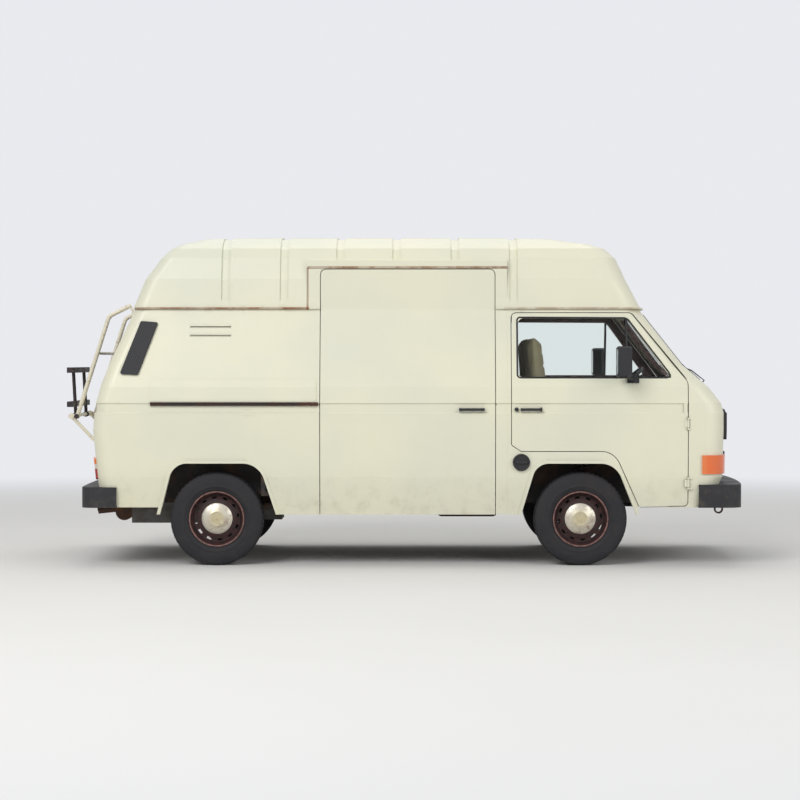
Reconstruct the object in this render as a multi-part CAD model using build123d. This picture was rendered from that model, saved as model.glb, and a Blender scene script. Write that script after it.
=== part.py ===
from build123d import *
from functools import lru_cache
import math
import os

os.makedirs("parts", exist_ok=True)

# Driving dimensions, in millimetres. X runs forward, Y to the left, Z up, and the
# origin lies on the ground below the middle of the whole vehicle.

# Planes well outside the van, and the one that all of its right side lies beyond
NOSE_END = 2600
TAIL_END = -2600
FAR_SIDE = 1200
BELOW = 100
ABOVE = 2600
SIDE_PLANE = -500

# Wheels and axles
FRONT_AXLE_X = 1200
REAR_AXLE_X = -1260
TYRE_RADIUS = 315
TYRE_WIDTH = 185
TYRE_BORE = 179.3
TREAD_WIDTH = 148
SHOULDER_TAPER = 55.6
TYRE_FLATS = 64
TRACK_HALF = 785
RIM_RADIUS = 179
RIM_FLANGE_RADIUS = 188
RIM_WALL = 8
RIM_INNER_EDGE = 80
RIM_OUTER_EDGE = 93
RIM_FLANGE = 4
DISC_INNER_FACE = 12
DISC_THICKNESS = 12
HUB_CAP_RADIUS = 127
HUB_CAP_CROWN_RADIUS = 92
HUB_CAP_RIM = 8
HUB_CAP_DEPTH = 44
AIR_SLOT_COUNT = 12
AIR_SLOT_LENGTH = 34
AIR_SLOT_WIDTH = 18
AIR_SLOT_CORNER = 6
SPARE_X = 1675
SPARE_DISH_DROP = 60
STUB_RADIUS = 16
RUNNING_FIT = 0.08

# Steering
KINGPIN_Y = 735
KINGPIN_RADIUS = 10
UPRIGHT_RADIUS = 20
UPRIGHT_BOTTOM = 240
UPRIGHT_TOP = 368
STEERING_ARM_LENGTH = 95
STEERING_ARM_Z = 280
STEERING_ARM_HALF = 6
STEERING_ARM_TIP = 14
STEERING_ARM_SIDES = (10, 25)
EYE_RADIUS = 22
EYE_HEIGHT = 22
ARM_ROD_RADIUS = 10
WISHBONE_REAR_X = 1158
WISHBONE_FRONT_X = 1318
BEAM_FRONT_X = 1345
BEAM_BOTTOM_Z = 212
BEAM_TOP_Z = 300
STUB_SETBACK = 1
DAMPER_RADIUS = 18
DAMPER_FRONT = (1222, 560)
DAMPER_REAR = (-1039, 590)
DAMPER_HEAD_RADIUS = 38
DAMPER_HEAD_HEIGHT = 14
DAMPER_PIN_HALF = 46
RACK_RADIUS = 24
RACK_HALF = 300
TIE_ROD_RADIUS = 9
TIE_ROD_Z = 302

# Body shell
WALL = 45
SEAM = 5
SEAT_GAP = 0.3
SILL_Z = 347
NOSE_SKIRT_Z = 395
CAB_REAR_X = 705
ROOF_BASE_Z = 1735
ROOF_WALL = 30
GLASS_THICKNESS = 5
GLASS_DEPTH = 14
NOSE_BULGE = 62
TAIL_BULGE = 22
NOSE_CORNER = 130
TAIL_CORNER = 95

# Doors and tailgate
CAB_DOOR_REAR_X = 728
CAB_DOOR_FRONT_X = 1922
CAB_DOOR_TOP_Z = 1712
CAB_DOOR_SHELF_Z = 771
SLIDING_DOOR_REAR_X = -563
SLIDING_DOOR_FRONT_X = 626
SLIDING_DOOR_TOP_Z = 2008
TAILGATE_HALF = 700
TAILGATE_BOTTOM_Z = 760
TAILGATE_TOP_Z = 1724
DOOR_HINGE_X = 1919.5
DOOR_HINGE_Y = 926
DOOR_HINGE_Z = (560, 960)
HINGE_HALF = 24
HINGE_LUG = 12
HINGE_RADIUS = 8
HINGE_PIN = 4
GATE_HINGE_X = -1838
GATE_HINGE_Z = 1750
GATE_HINGE_Y = 350
GATE_KNUCKLE_HALF = 16
GATE_LEAF = 8
GATE_NOTCH = 60
GATE_LEAF_REACH = 12
HINGE_LEAF_LENGTH = 26
HINGE_LEAF_WIDTH = 18
DOOR_RELIEF = 16
SILL_OUTER_Y = 845
SILL_INNER_Y = 800
SILL_FOOT = 60
SILL_FOOT_Y = 880

# Trim on the sides
QUARTER_LIGHT_X = 1510
QUARTER_BAR_WIDTH = 14
HANDLE_Z = 1056
HANDLE_HEIGHT = 18
HANDLE_PROUD = 34
HANDLE_BAR_DEPTH = 12
CAB_HANDLE_X = (792, 936)
# The front foot of a cab door's handle stands on a pad as high as the lock
HANDLE_PAD_LENGTH = 10
HANDLE_PAD_PROUD = 12.5
CAB_LOCK_X = 765
CAB_LOCK_RADIUS = 14
SLIDING_HANDLE_X = (377, 549)
FUEL_CAP_X = 797
FUEL_CAP_Z = 700
FUEL_CAP_RADIUS = 58
LOUVRE_X = (-1440, -1166)
LOUVRE_Z = (1546, 1605)
LOUVRE_HEIGHT = 14
LOUVRE_DEPTH = 9
LOUVRE_LIP = 6
SIDE_LID_X = -1045
SIDE_LID_Z = 1034
SIDE_LID_LENGTH = 85
SIDE_LID_HEIGHT = 37
PLATE_PROUD = 4
RAIL_COVER_X = (-1703, -585)
RAIL_Z = (1080, 1104)
RAIL_COVER_TOP_Z = 1258

# Door mirrors
MIRROR_REAR_X = 1430
MIRROR_DEPTH = 98
MIRROR_BOTTOM_Z = 1273
MIRROR_HEIGHT = 208
MIRROR_OUTER_Y = 1100
MIRROR_WIDTH = 138
MIRROR_TAPER = 32
MIRROR_CORNER = 12
MIRROR_RIM = 8
MIRROR_RECESS = 4
MIRROR_ARM_RADIUS = 9
MIRROR_FOOT_X = (1510, 1590)
MIRROR_FOOT_Z = (1234, 1268)

# Cab fittings
STEERING_WHEEL_X = 1600
STEERING_WHEEL_Y = 420
STEERING_WHEEL_Z = 1200
STEERING_WHEEL_RADIUS = 190
STEERING_RIM_RADIUS = 13
STEERING_HUB_RADIUS = 38
STEERING_HUB_DEPTH = 36
SPOKE_WIDTH = 36
SPOKE_THICKNESS = 8
DASH_REAR_X = 1740
DASH_FRONT_X = 2040
DASH_HALF = 850
DASH_SHELF_HALF = 700
DASH_TOP_Z = 1235
COLUMN_TILT = math.radians(42)
COLUMN_START = 45
COLUMN_END = 520
SHAFT_LENGTH = 110
BRACKET_X = (1700, 1765)
BRACKET_Z = (1040, 1110)
BRACKET_HALF = 30
COLUMN_RADIUS = 24
SHAFT_RADIUS = 10
SEAT_Y = 420
SEAT_BASE_HEIGHT = 100
SEAT_BASE_HALF = 190
SEAT_BASE_X = (940, 1430)
CUSHION_HALF = 245
CUSHION_REAR_X = 1010
CUSHION_FRONT_X = 1490
CUSHION_HEIGHT = 140
SEAT_BACK_HALF = 235
SEAT_BACK_DEPTH = 120
SEAT_BACK_HEIGHT = 700
SEAT_RECLINE = 80
SEAT_EDGE = 18

# Carrier on the tailgate and tow eyes
RACK_ARM_Y = 450
RACK_TUBE = 15
RACK_BAR = 12
RACK_HEAD = (-1890, -RACK_ARM_Y, 1768)
RACK_KNEE = (-2041, -RACK_ARM_Y, 1693)
RACK_FOOT = (-2263, -RACK_ARM_Y, 999)
RACK_HINGE = (-2303, -RACK_ARM_Y, 999)
RACK_HEEL = (-2151, -RACK_ARM_Y, 840)
RACK_TOE = (-2112, -RACK_ARM_Y, 832)
RACK_BEND = 60
# Joint bosses of the carrier: place and radius, which is also half of the length
RACK_BOSSES = ((RACK_FOOT, 17), (RACK_HINGE, 20), (RACK_HEEL, 14))
HOOK_ENDS = ((-1893, -RACK_ARM_Y, 1764), (-1864, -RACK_ARM_Y, 1700))
HOOK_RADIUS = 8
PAD_HALF = 22
UPPER_PAD_Z = (1685, 1715)
LOWER_PAD_Z = (800, 860)
MIDDLE_BAR = (-2120, 1437)
PLATFORM_HALF = 420
PLATFORM_X = (-2340, -2300)
PLATFORM_RAIL_Z = (1062, 1300)
PLATFORM_RAIL_HEIGHT = 38
PLATFORM_ARM_Y = 250
PLATFORM_BUSH_HALF = 25
TOW_EYE_Z = 355
TOW_EYE_OUTER = 32
TOW_EYE_RADIUS = 20
TOW_EYE_HALF = 7
TOW_BAR_Z = (366, 384)
TOW_PLATE_LENGTH = 100
TOW_PLATE_HALF = 25
# Place of each ring and of the plate on the chassis rail that carries it
TOW_EYES = ((2190, 1850), (-2095, -1850))

# Floors
LOAD_FLOOR_Z = 500
CAB_FLOOR_Z = 575
SEAT_BOX_Z = 770
REAR_DECK_Z = 870
SHEET = 30
WELL_SHEET = 20
FLOOR_HALF = 900
AISLE_HALF = 500
SEAT_BOX_FRONT_X = 1620
RISER_X = (-960, -930)
REAR_WELL_X = -1640
REAR_WELL_Y = 660
FRAME_REAR_X = -2010
FRAME_FRONT_X = 2000
CAB_FLOOR_FRONT_X = 2100
BULKHEAD_X = 1975
BULKHEAD_SHEET = 12
DASH_BOTTOM_Z = 1060
RADIATOR_X = (2010, 2050)
RADIATOR_HALF = 340
RADIATOR_HEIGHT = 250
TRAILING_PIVOT_X = -860
TRAILING_PIVOT_Z = 400
GEARBOX_HALF = 140
DRIVE_Z = 360
ENGINE_REAR_X = -1900
ENGINE_FRONT_X = -1330
ENGINE_HALF = 330
GEARBOX_FRONT_X = -860
ENGINE_Z = (250, 780)
GEARBOX_Z = (260, 450)
ENGINE_MOUNT_X = (-1760, -1700)
GEARBOX_MOUNT_X = (-940, -890)
MOUNT_Z = (410, 448)
BRAKE_RADIUS = 60
BRAKE_SIDES = (12, 30)
HUB_SETBACK = 75
ARM_SETBACK = 15
BUSH_RADIUS = 34
BUSH_WIDTH = 90
TRAILING_ARM_RADIUS = 28
PIPE_Y = -215
PIPE_END_X = -2150
PIPE_RADIUS = 20
TANK_X = (230, 660)
TANK_DEPTH = 170
TANK_CORNER = 40
SILENCER_HALF = 260
SILENCER_RADIUS = 62
SILENCER_Z = 325
RAIL_Y = 430
RAIL_WIDTH = 60
RAIL_BOTTOM_Z = 400

# Section tables of the two big shells: height, nose, tail, half width
BODY_LEVELS = (
    (250, 1999, -2024, 885),
    (600, 2150, -2065, 918),
    (914, 2158, -2095, 922),
    (1030, 2158, -2085, 922),
    (1040, 2148, -2074, 912),
    (1090, 2136, -2070, 911),
    (1100, 2138, -2076, 920),
    (1206, 2056, -2047, 908),
    (1357, 1880, -1991, 877),
    (ROOF_BASE_Z, 1588, -1822, 800),
)
ROOF_LEVELS = (
    (ROOF_BASE_Z, 1604, -1836, 806),
    (1940, 1498, -1752, 778),
    (2085, 1432, -1648, 738),
    (2150, 1366, -1580, 700),
    (2185, 1260, -1515, 650),
    (2222, 1020, -1370, 545),
    (2242, 700, -1060, 330),
)
ROOF_GROOVE_X = (-1203, -806, -424, -43, 354, 751)
ROOF_GROOVE_WIDTH = 60
ROOF_GROOVE_DEPTH = 12
ROOF_GROOVE_FOOT = 60
SLOPE_SHARE = 0.6
# The lining inside the roof follows every second section of it
# The waist groove lies between two of the body's levels, and the filled shell leaves it out
WAIST_GROOVE_Z = (1030, 1100)
FILLED_LEVELS = tuple(level for level in BODY_LEVELS if not WAIST_GROOVE_Z[0] < level[0] < WAIST_GROOVE_Z[1])
SHELL_LEVELS = {
    "body": BODY_LEVELS, "filled": FILLED_LEVELS, "roof": ROOF_LEVELS, "lining": ROOF_LEVELS[::2],
}
# The groove ends just before the front edge of the cab door
WAIST_GROOVE_FRONT_X = 1890
WAIST_FILL_MARGIN = 3
WAIST_FILL_HALF = 810
GUTTER_PROUD = 12
GUTTER_HEIGHT = 10
GUTTER_REAR_X = -1790

# Raised frame over the sliding door: outline across the van
DORMER_REAR_X = -645
DORMER_FRONT_X = 705
DORMER_TOP_Z = 2065
DORMER_FOOT_HALF = 800
DORMER_TOP_HALF = 782
DORMER_RISE = 20
DORMER_ROOT_HALF = 560
DRIP_PROUD = 8
DRIP_HEIGHT = 8

# Wheel arches: bottom rear, top rear, top front, bottom front, and two corner radii
ARCH_TOP_Z = 692
ARCH_FOOT_Z = 300
FRONT_ARCH = ((783, ARCH_FOOT_Z), (900, ARCH_TOP_Z), (1432, ARCH_TOP_Z), (1591, ARCH_FOOT_Z), 110, 150)
REAR_ARCH = ((-1652, ARCH_FOOT_Z), (-1550, ARCH_TOP_Z), (-971, ARCH_TOP_Z), (-842, ARCH_FOOT_Z), 120, 150)
ARCH_LIP = 22
ARCH_LIP_HEIGHT = 9


def block(x0, x1, y0, y1, z0, z1):
    return Pos((x0 + x1) / 2, (y0 + y1) / 2, (z0 + z1) / 2) * Box(x1 - x0, y1 - y0, z1 - z0)


def cross_block(x0, x1, half, z0, z1):
    """A block across the van, as wide on both sides."""
    return block(x0, x1, -half, half, z0, z1)


def rounded_face(points, radii):
    face = make_face(Polyline(*points, close=True))
    for (x, y), radius in zip(points, radii):
        if radius:
            corner = min(face.vertices(), key=lambda v: (v.X - x) ** 2 + (v.Y - y) ** 2)
            face = fillet(corner, radius)
    return face


def side_prism(face, y0, y1):
    """Extrude an outline drawn in X and Z from y0 to y1."""
    return Pos(0, y1, 0) * extrude(Plane.XZ * face, y1 - y0)


def front_prism(face, x0, x1):
    """Extrude an outline drawn in Y and Z from x0 to x1."""
    return Pos(x0, 0, 0) * extrude(Plane.YZ * face, x1 - x0)


def rod(start, end, radius):
    axis = Vector(*end) - Vector(*start)
    return extrude(Plane(origin=start, z_dir=axis) * Circle(radius), axis.length)


def cross_disc(x, z, y0, y1, radius):
    return rod((x, y0, z), (x, y1, z), radius)


def post(x, y, z0, z1, radius):
    return rod((x, y, z0), (x, y, z1), radius)


def bent_tube(points, bend, radius):
    path = FilletPolyline(*points, radius=bend)
    start = Plane(origin=path @ 0, z_dir=path % 0)
    return sweep(start * Circle(radius), path=path)


def both_sides(piece):
    """The piece and its mirror image on the other side of the van."""
    return Compound(children=[*piece.solids(), *mirror(piece, about=Plane.XZ).solids()])


def left_of(piece):
    return mirror(piece, about=Plane.XZ)


def plan_outline(nose, tail, half, nose_bulge, tail_bulge, nose_corner, tail_corner):
    """Outline seen from above: flat sides, bowed nose and tail, round corners."""
    edges = [
        Line((tail, -half), (nose, -half)),
        ThreePointArc((nose, -half), (nose + nose_bulge, 0), (nose, half)),
        Line((nose, half), (tail, half)),
        ThreePointArc((tail, half), (tail - tail_bulge, 0), (tail, -half)),
    ]
    face = make_face(edges)
    face = fillet([v for v in face.vertices() if v.X > 0], nose_corner)
    return fillet([v for v in face.vertices() if v.X < 0 and abs(v.X - tail) < 1], tail_corner)


@lru_cache(maxsize=None)
def shell_volume(name, inset=0.0):
    """The closed volume of the body, roof or roof lining, moved inwards by inset."""
    levels = SHELL_LEVELS[name]
    sections = []
    for index, (height, nose, tail, half) in enumerate(levels):
        if name != "body" and index == len(levels) - 1:
            height -= inset
        elif name != "body" and index:
            height -= inset * SLOPE_SHARE
        face = plan_outline(
            nose - inset, tail + inset, half - inset,
            NOSE_BULGE, TAIL_BULGE, NOSE_CORNER - inset, TAIL_CORNER - inset,
        )
        sections.append(Pos(0, 0, height) * face)
    return loft(sections, ruled=True)


def body_skin(outer, inner):
    """A layer of the body wall between two depths below its surface."""
    return shell_volume("body", outer) - shell_volume("body", inner)


def layer(outer, inner, tool):
    """The part of a body-wall layer, between two depths, that lies inside a tool."""
    return (shell_volume("body", outer) & tool) - shell_volume("body", inner)


def right_side(x0, x1, z0, z1):
    """A block that cuts a stretch of the right-hand wall."""
    return block(x0, x1, -FAR_SIDE, SIDE_PLANE, z0, z1)


def arch_face(arch, grow=0.0):
    rear_foot, rear_top, front_top, front_foot, rear_radius, front_radius = arch
    face = rounded_face((rear_foot, rear_top, front_top, front_foot), (0, rear_radius, front_radius, 0))
    return offset(face, grow) if grow else face


def export(shape, name):
    export_step(shape, f"parts/{name}.step")


BODY = body_skin(0, WALL)

# The outline of the cab door follows the arch over the front wheel.
CAB_DOOR_POINTS = (
    (CAB_DOOR_REAR_X, 815),
    (795, CAB_DOOR_SHELF_Z),
    (1420, CAB_DOOR_SHELF_Z),
    (1590, NOSE_SKIRT_Z),
    (CAB_DOOR_FRONT_X, NOSE_SKIRT_Z + 8),
    (CAB_DOOR_FRONT_X, 1241),
    (1545, CAB_DOOR_TOP_Z),
    (CAB_DOOR_REAR_X, CAB_DOOR_TOP_Z),
)
CAB_DOOR_RADII = (20, 20, 130, 20, 30, 60, 40, 40)
CAB_WINDOW_POINTS = ((776, 1275), (1790, 1275), (1790, 1292), (1512, 1668), (776, 1672))
CAB_WINDOW_RADII = (30, 0, 0, 40, 40)
SLIDING_DOOR_POINTS = (
    (SLIDING_DOOR_REAR_X, SILL_Z - 60),
    (SLIDING_DOOR_FRONT_X, SILL_Z - 60),
    (SLIDING_DOOR_FRONT_X, SLIDING_DOOR_TOP_Z),
    (SLIDING_DOOR_REAR_X, SLIDING_DOOR_TOP_Z),
)
SLIDING_DOOR_RADII = (0, 0, 40, 40)
TAILGATE_POINTS = (
    (-TAILGATE_HALF, TAILGATE_BOTTOM_Z),
    (TAILGATE_HALF, TAILGATE_BOTTOM_Z),
    (TAILGATE_HALF, TAILGATE_TOP_Z),
    (-TAILGATE_HALF, TAILGATE_TOP_Z),
)
TAILGATE_RADII = (60, 60, 0, 0)
REAR_WINDOW_POINTS = ((-610, 1190), (610, 1190), (580, 1640), (-580, 1640))
REAR_WINDOW_RADII = (50, 50, 50, 50)
WINDSCREEN_POINTS = ((-745, 1262), (745, 1262), (655, 1688), (-655, 1688))
WINDSCREEN_RADII = (50, 50, 70, 70)

cab_door_face = rounded_face(CAB_DOOR_POINTS, CAB_DOOR_RADII)
cab_window_face = rounded_face(CAB_WINDOW_POINTS, CAB_WINDOW_RADII)
sliding_door_face = rounded_face(SLIDING_DOOR_POINTS, SLIDING_DOOR_RADII)
tailgate_face = rounded_face(TAILGATE_POINTS, TAILGATE_RADII)
rear_window_face = rounded_face(REAR_WINDOW_POINTS, REAR_WINDOW_RADII)
windscreen_face = rounded_face(WINDSCREEN_POINTS, WINDSCREEN_RADII)


def trim_skirts(piece):
    """Cut the lower edge of the body to its three heights."""
    piece = piece - cross_block(TAIL_END, NOSE_END, FAR_SIDE, BELOW, SILL_Z)
    front = cross_block(FRONT_AXLE_X, NOSE_END, FAR_SIDE, BELOW, NOSE_SKIRT_Z)
    rear = cross_block(TAIL_END, REAR_AXLE_X, FAR_SIDE, BELOW, NOSE_SKIRT_Z)
    return piece - front - rear


def arch_lip(arch, x0, x1):
    """The raised edge round a wheel arch on the right side."""
    ring = side_prism(arch_face(arch, ARCH_LIP) - arch_face(arch), -FAR_SIDE, SIDE_PLANE)
    return layer(-ARCH_LIP_HEIGHT, GLASS_DEPTH, ring & right_side(x0, x1, SILL_Z, ARCH_TOP_Z + 2 * ARCH_LIP))


def waist_fill(x0, x1):
    """A stretch of the right-hand wall without the waist groove."""
    zone = block(x0, x1, -FAR_SIDE, -WAIST_FILL_HALF, *WAIST_GROOVE_Z)
    return (shell_volume("filled") & zone) - shell_volume("body", WALL)


def build_panels():
    """Cut the body wall into its real panels."""
    wall = trim_skirts(BODY)
    front_cut = side_prism(arch_face(FRONT_ARCH), -FAR_SIDE, SIDE_PLANE)
    rear_cut = side_prism(arch_face(REAR_ARCH), -FAR_SIDE, SIDE_PLANE)
    door_cut = side_prism(cab_door_face, -FAR_SIDE, SIDE_PLANE)
    arch_cuts = front_cut + left_of(front_cut)
    door_cuts = door_cut + left_of(door_cut)

    # Cab: nose, pillars, windscreen surround and front arches in one pressing
    cab = wall & block(CAB_REAR_X, NOSE_END, -FAR_SIDE, FAR_SIDE, BELOW, ABOVE)
    lip = arch_lip(FRONT_ARCH, CAB_REAR_X, FRONT_ARCH[3][0])
    cab = cab - arch_cuts - door_cuts
    cab = cab + (lip - door_cut) + left_of(lip - door_cut)
    corner = waist_fill(CAB_DOOR_FRONT_X, NOSE_END)
    cab = cab + corner + left_of(corner)
    for height in DOOR_HINGE_Z:
        lugs = hinge_lugs(height)
        clearance = hinge_knuckle(height, SEAM)
        cab = cab - clearance - left_of(clearance) + lugs + left_of(lugs)
    cab = cab - front_prism(windscreen_face, FRONT_AXLE_X, NOSE_END)
    cab = cab - front_prism(lower_grille_face(), FRONT_AXLE_X, NOSE_END)
    export(cab, "cab_frame")

    # Sides, from behind the cab to the tailgate opening
    side = wall & block(TAIL_END, CAB_REAR_X - SEAT_GAP, -FAR_SIDE, -TAILGATE_HALF, BELOW, ABOVE)
    side = side - rear_cut + arch_lip(REAR_ARCH, TAIL_END, SLIDING_DOOR_REAR_X)
    for bottom in LOUVRE_Z:
        top = bottom + LOUVRE_HEIGHT
        side = side - layer(0, LOUVRE_DEPTH, right_side(*LOUVRE_X, bottom, top))
        side = side + layer(-LOUVRE_LIP, LOUVRE_DEPTH, right_side(*LOUVRE_X, top, top + LOUVRE_LIP))
    sliding_cut = side_prism(sliding_door_face, -FAR_SIDE, SIDE_PLANE)
    sill_top = LOAD_FLOOR_Z - SHEET - SEAT_GAP
    sill_rear = SLIDING_DOOR_REAR_X - SILL_FOOT
    sill_front = CAB_REAR_X - SEAT_GAP
    sill = block(sill_rear, sill_front, -SILL_OUTER_Y, -SILL_INNER_Y, SILL_Z, sill_top)
    for foot_rear, foot_front in ((sill_rear, SLIDING_DOOR_REAR_X), (SLIDING_DOOR_FRONT_X, sill_front)):
        sill = sill + block(foot_rear, foot_front, -SILL_FOOT_Y, -SILL_INNER_Y, SILL_Z, sill_top)
    cover_zone = right_side(*RAIL_COVER_X, RAIL_Z[1] + PLATE_PROUD, RAIL_COVER_TOP_Z)
    cover = layer(-PLATE_PROUD, GLASS_DEPTH, cover_zone)
    lid_face = Pos(SIDE_LID_X, SIDE_LID_Z) * SlotOverall(SIDE_LID_LENGTH, SIDE_LID_HEIGHT)
    lid = layer(-PLATE_PROUD, GLASS_DEPTH, side_prism(lid_face, -FAR_SIDE, SIDE_PLANE))
    export(side - sliding_cut + sill + cover + lid, "side_panel_right")
    export(left_of(side), "side_panel_left")

    # Rear panel below the tailgate
    rear_half = TAILGATE_HALF - SEAT_GAP
    rear = wall & block(TAIL_END, REAR_AXLE_X, -rear_half, rear_half, BELOW, TAILGATE_BOTTOM_Z - SEAM)
    export(rear, "rear_panel")

    # Cab doors
    inner_door = side_prism(offset(cab_door_face, -SEAM), -FAR_SIDE, SIDE_PLANE)
    window = side_prism(cab_window_face, -FAR_SIDE, SIDE_PLANE)
    relief = door_swing_relief()
    filled_edge = waist_fill(WAIST_GROOVE_FRONT_X, CAB_DOOR_FRONT_X - SEAM - WAIST_FILL_MARGIN)
    door = ((BODY & inner_door) + filled_edge) - window - relief
    for height in DOOR_HINGE_Z:
        door = door - hinge_lugs(height, SEAM) + hinge_knuckle(height)
    bar_rear = QUARTER_LIGHT_X - QUARTER_BAR_WIDTH / 2
    bar_bottom, bar_top = CAB_WINDOW_POINTS[0][1] - 1, CAB_WINDOW_POINTS[-1][1] + 1
    bar = right_side(bar_rear, bar_rear + QUARTER_BAR_WIDTH, bar_bottom, bar_top)
    door = door + layer(GLASS_DEPTH / 2, GLASS_DEPTH - SEAT_GAP, bar)
    export(door, "cab_door_right")
    export(left_of(door), "cab_door_left")
    pane = side_prism(offset(cab_window_face, -SEAT_GAP), -FAR_SIDE, SIDE_PLANE)
    glass = layer(GLASS_DEPTH, GLASS_DEPTH + GLASS_THICKNESS, pane)
    export(glass, "door_glass_right")
    export(left_of(glass), "door_glass_left")

    # Windscreen
    pane = front_prism(offset(windscreen_face, -SEAT_GAP), FRONT_AXLE_X, NOSE_END)
    export(layer(GLASS_DEPTH, GLASS_DEPTH + GLASS_THICKNESS, pane), "windscreen")

    # Tailgate and its window
    gate = BODY & front_prism(offset(tailgate_face, -SEAM), TAIL_END, REAR_AXLE_X)
    gate = gate - front_prism(rear_window_face, TAIL_END, REAR_AXLE_X)
    for y in (-GATE_HINGE_Y, GATE_HINGE_Y):
        gate = gate + gate_knuckle(y - GATE_KNUCKLE_HALF, y + GATE_KNUCKLE_HALF)
    export(gate, "tailgate")
    pane = front_prism(offset(rear_window_face, -SEAT_GAP), TAIL_END, REAR_AXLE_X)
    export(layer(GLASS_DEPTH, GLASS_DEPTH + GLASS_THICKNESS, pane), "tailgate_glass")


def gate_knuckle(low, high):
    """One knuckle of the tailgate, bored for the pin that the roof carries."""
    leaf_half = GATE_LEAF / 2
    barrel = cross_disc(GATE_HINGE_X, GATE_HINGE_Z, low, high, HINGE_RADIUS)
    leaf = block(
        GATE_HINGE_X - leaf_half, GATE_HINGE_X + leaf_half, low, high,
        TAILGATE_TOP_Z - GATE_LEAF_REACH, GATE_HINGE_Z,
    )
    return barrel + leaf - cross_disc(GATE_HINGE_X, GATE_HINGE_Z, low - 1, high + 1, HINGE_PIN + RUNNING_FIT)


def hinge_knuckle(height, grow=0.0):
    """The door's knuckle and leaf, or with grow the room that the frame leaves for them."""
    x, y = DOOR_HINGE_X, -DOOR_HINGE_Y
    low = height - HINGE_HALF - grow
    high = height + HINGE_HALF + grow
    barrel = post(x, y, low, high, HINGE_RADIUS + grow)
    if grow:
        return barrel
    leaf = block(x - HINGE_LEAF_LENGTH, x, y, y + HINGE_LEAF_WIDTH, low, high)
    return barrel + leaf - post(x, y, low - 1, high + 1, HINGE_PIN + RUNNING_FIT)


def hinge_lugs(height, grow=0.0):
    """The frame's two lugs and pin, or with grow the room that the door leaves for the lugs."""
    x, y = DOOR_HINGE_X, -DOOR_HINGE_Y
    near = HINGE_HALF + SEAM - grow
    far = near + HINGE_LUG + 2 * grow
    lugs = post(x, y, height + near, height + far, HINGE_RADIUS + grow)
    lugs = lugs + post(x, y, height - far, height - near, HINGE_RADIUS + grow)
    if grow:
        return lugs
    for low, high in ((near, far), (-far, -near)):
        lugs = lugs + block(x, x + HINGE_LEAF_LENGTH, y, y + HINGE_LEAF_WIDTH, height + low, height + high)
    return lugs + post(x, y, height - far, height + far, HINGE_PIN)


def door_swing_relief():
    """A wedge off the door's inner rear edge, so that it swings out past the pillar."""
    outer_y, inner_y = -SILL_FOOT_Y, -TAILGATE_HALF
    wedge = make_face(Polyline(
        (CAB_DOOR_REAR_X, outer_y),
        (CAB_DOOR_REAR_X + DOOR_RELIEF + SEAM, inner_y),
        (CAB_DOOR_REAR_X, inner_y),
        close=True,
    ))
    return Pos(0, 0, BELOW) * extrude(wedge, ABOVE)


def dormer_face(inset):
    half_low = DORMER_FOOT_HALF - inset
    half_top = DORMER_TOP_HALF - inset
    root_top = DORMER_TOP_Z + DORMER_RISE - inset
    return make_face(Polyline(
        (-half_low, ROOF_BASE_Z),
        (-half_top, DORMER_TOP_Z - inset),
        (-DORMER_ROOT_HALF, root_top),
        (-DORMER_ROOT_HALF, ROOF_BASE_Z),
        close=True,
    ))


def gutter():
    """The rain gutter round the foot of the roof, from the tailgate's corners forwards."""
    base, nose, tail, half = ROOF_LEVELS[0]
    outline = plan_outline(
        nose + GUTTER_PROUD, tail, half + GUTTER_PROUD, NOSE_BULGE, TAIL_BULGE, NOSE_CORNER, TAIL_CORNER
    )
    ring = Pos(0, 0, base) * extrude(outline, GUTTER_HEIGHT)
    return ring & block(GUTTER_REAR_X, NOSE_END, -FAR_SIDE, FAR_SIDE, BELOW, ABOVE)


def drip_rail():
    """The ledge that keeps rain off the top of the sliding door."""
    foot = SLIDING_DOOR_TOP_Z + SEAM
    return block(
        DORMER_REAR_X, DORMER_FRONT_X, -DORMER_TOP_HALF - DRIP_PROUD, -DORMER_TOP_HALF + WALL / 2,
        foot, foot + DRIP_HEIGHT,
    )


def build_roof():
    """The high roof with its cross grooves and the raised frame over the sliding door."""
    outer = shell_volume("roof")
    inner = shell_volume("lining", ROOF_WALL)
    half = ROOF_GROOVE_WIDTH / 2
    slabs = [
        block(x - half, x + half, -FAR_SIDE, FAR_SIDE, ROOF_BASE_Z + ROOF_GROOVE_FOOT, ABOVE)
        for x in ROOF_GROOVE_X
    ]
    core = shell_volume("roof", ROOF_GROOVE_DEPTH)
    outer = outer - [slab - core for slab in slabs] + gutter()
    dormer = front_prism(dormer_face(0), DORMER_REAR_X, DORMER_FRONT_X)
    dormer = dormer + drip_rail()
    dormer_room = front_prism(dormer_face(WALL), DORMER_REAR_X + WALL, DORMER_FRONT_X - WALL)
    roof = outer + dormer - inner - dormer_room
    door_cut = side_prism(sliding_door_face, -FAR_SIDE, SIDE_PLANE)
    inner_door = side_prism(offset(sliding_door_face, -SEAM), -FAR_SIDE, SIDE_PLANE)
    upper_door = (dormer - dormer_room) & inner_door
    roof = roof - door_cut
    notch_half = GATE_KNUCKLE_HALF + SEAM + 1
    pin_half = notch_half + SEAM
    for y in (-GATE_HINGE_Y, GATE_HINGE_Y):
        roof = roof - block(
            TAIL_END, GATE_HINGE_X + GATE_NOTCH, y - notch_half, y + notch_half,
            ROOF_BASE_Z - 1, GATE_HINGE_Z + HINGE_RADIUS + SEAM,
        )
        roof = roof + cross_disc(GATE_HINGE_X, GATE_HINGE_Z, y - pin_half, y + pin_half, HINGE_PIN)
    export(roof, "high_roof")
    lower = BODY & inner_door & block(TAIL_END, NOSE_END, -FAR_SIDE, 0, SILL_Z, ROOF_BASE_Z)
    export(lower + upper_door, "sliding_door")


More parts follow.
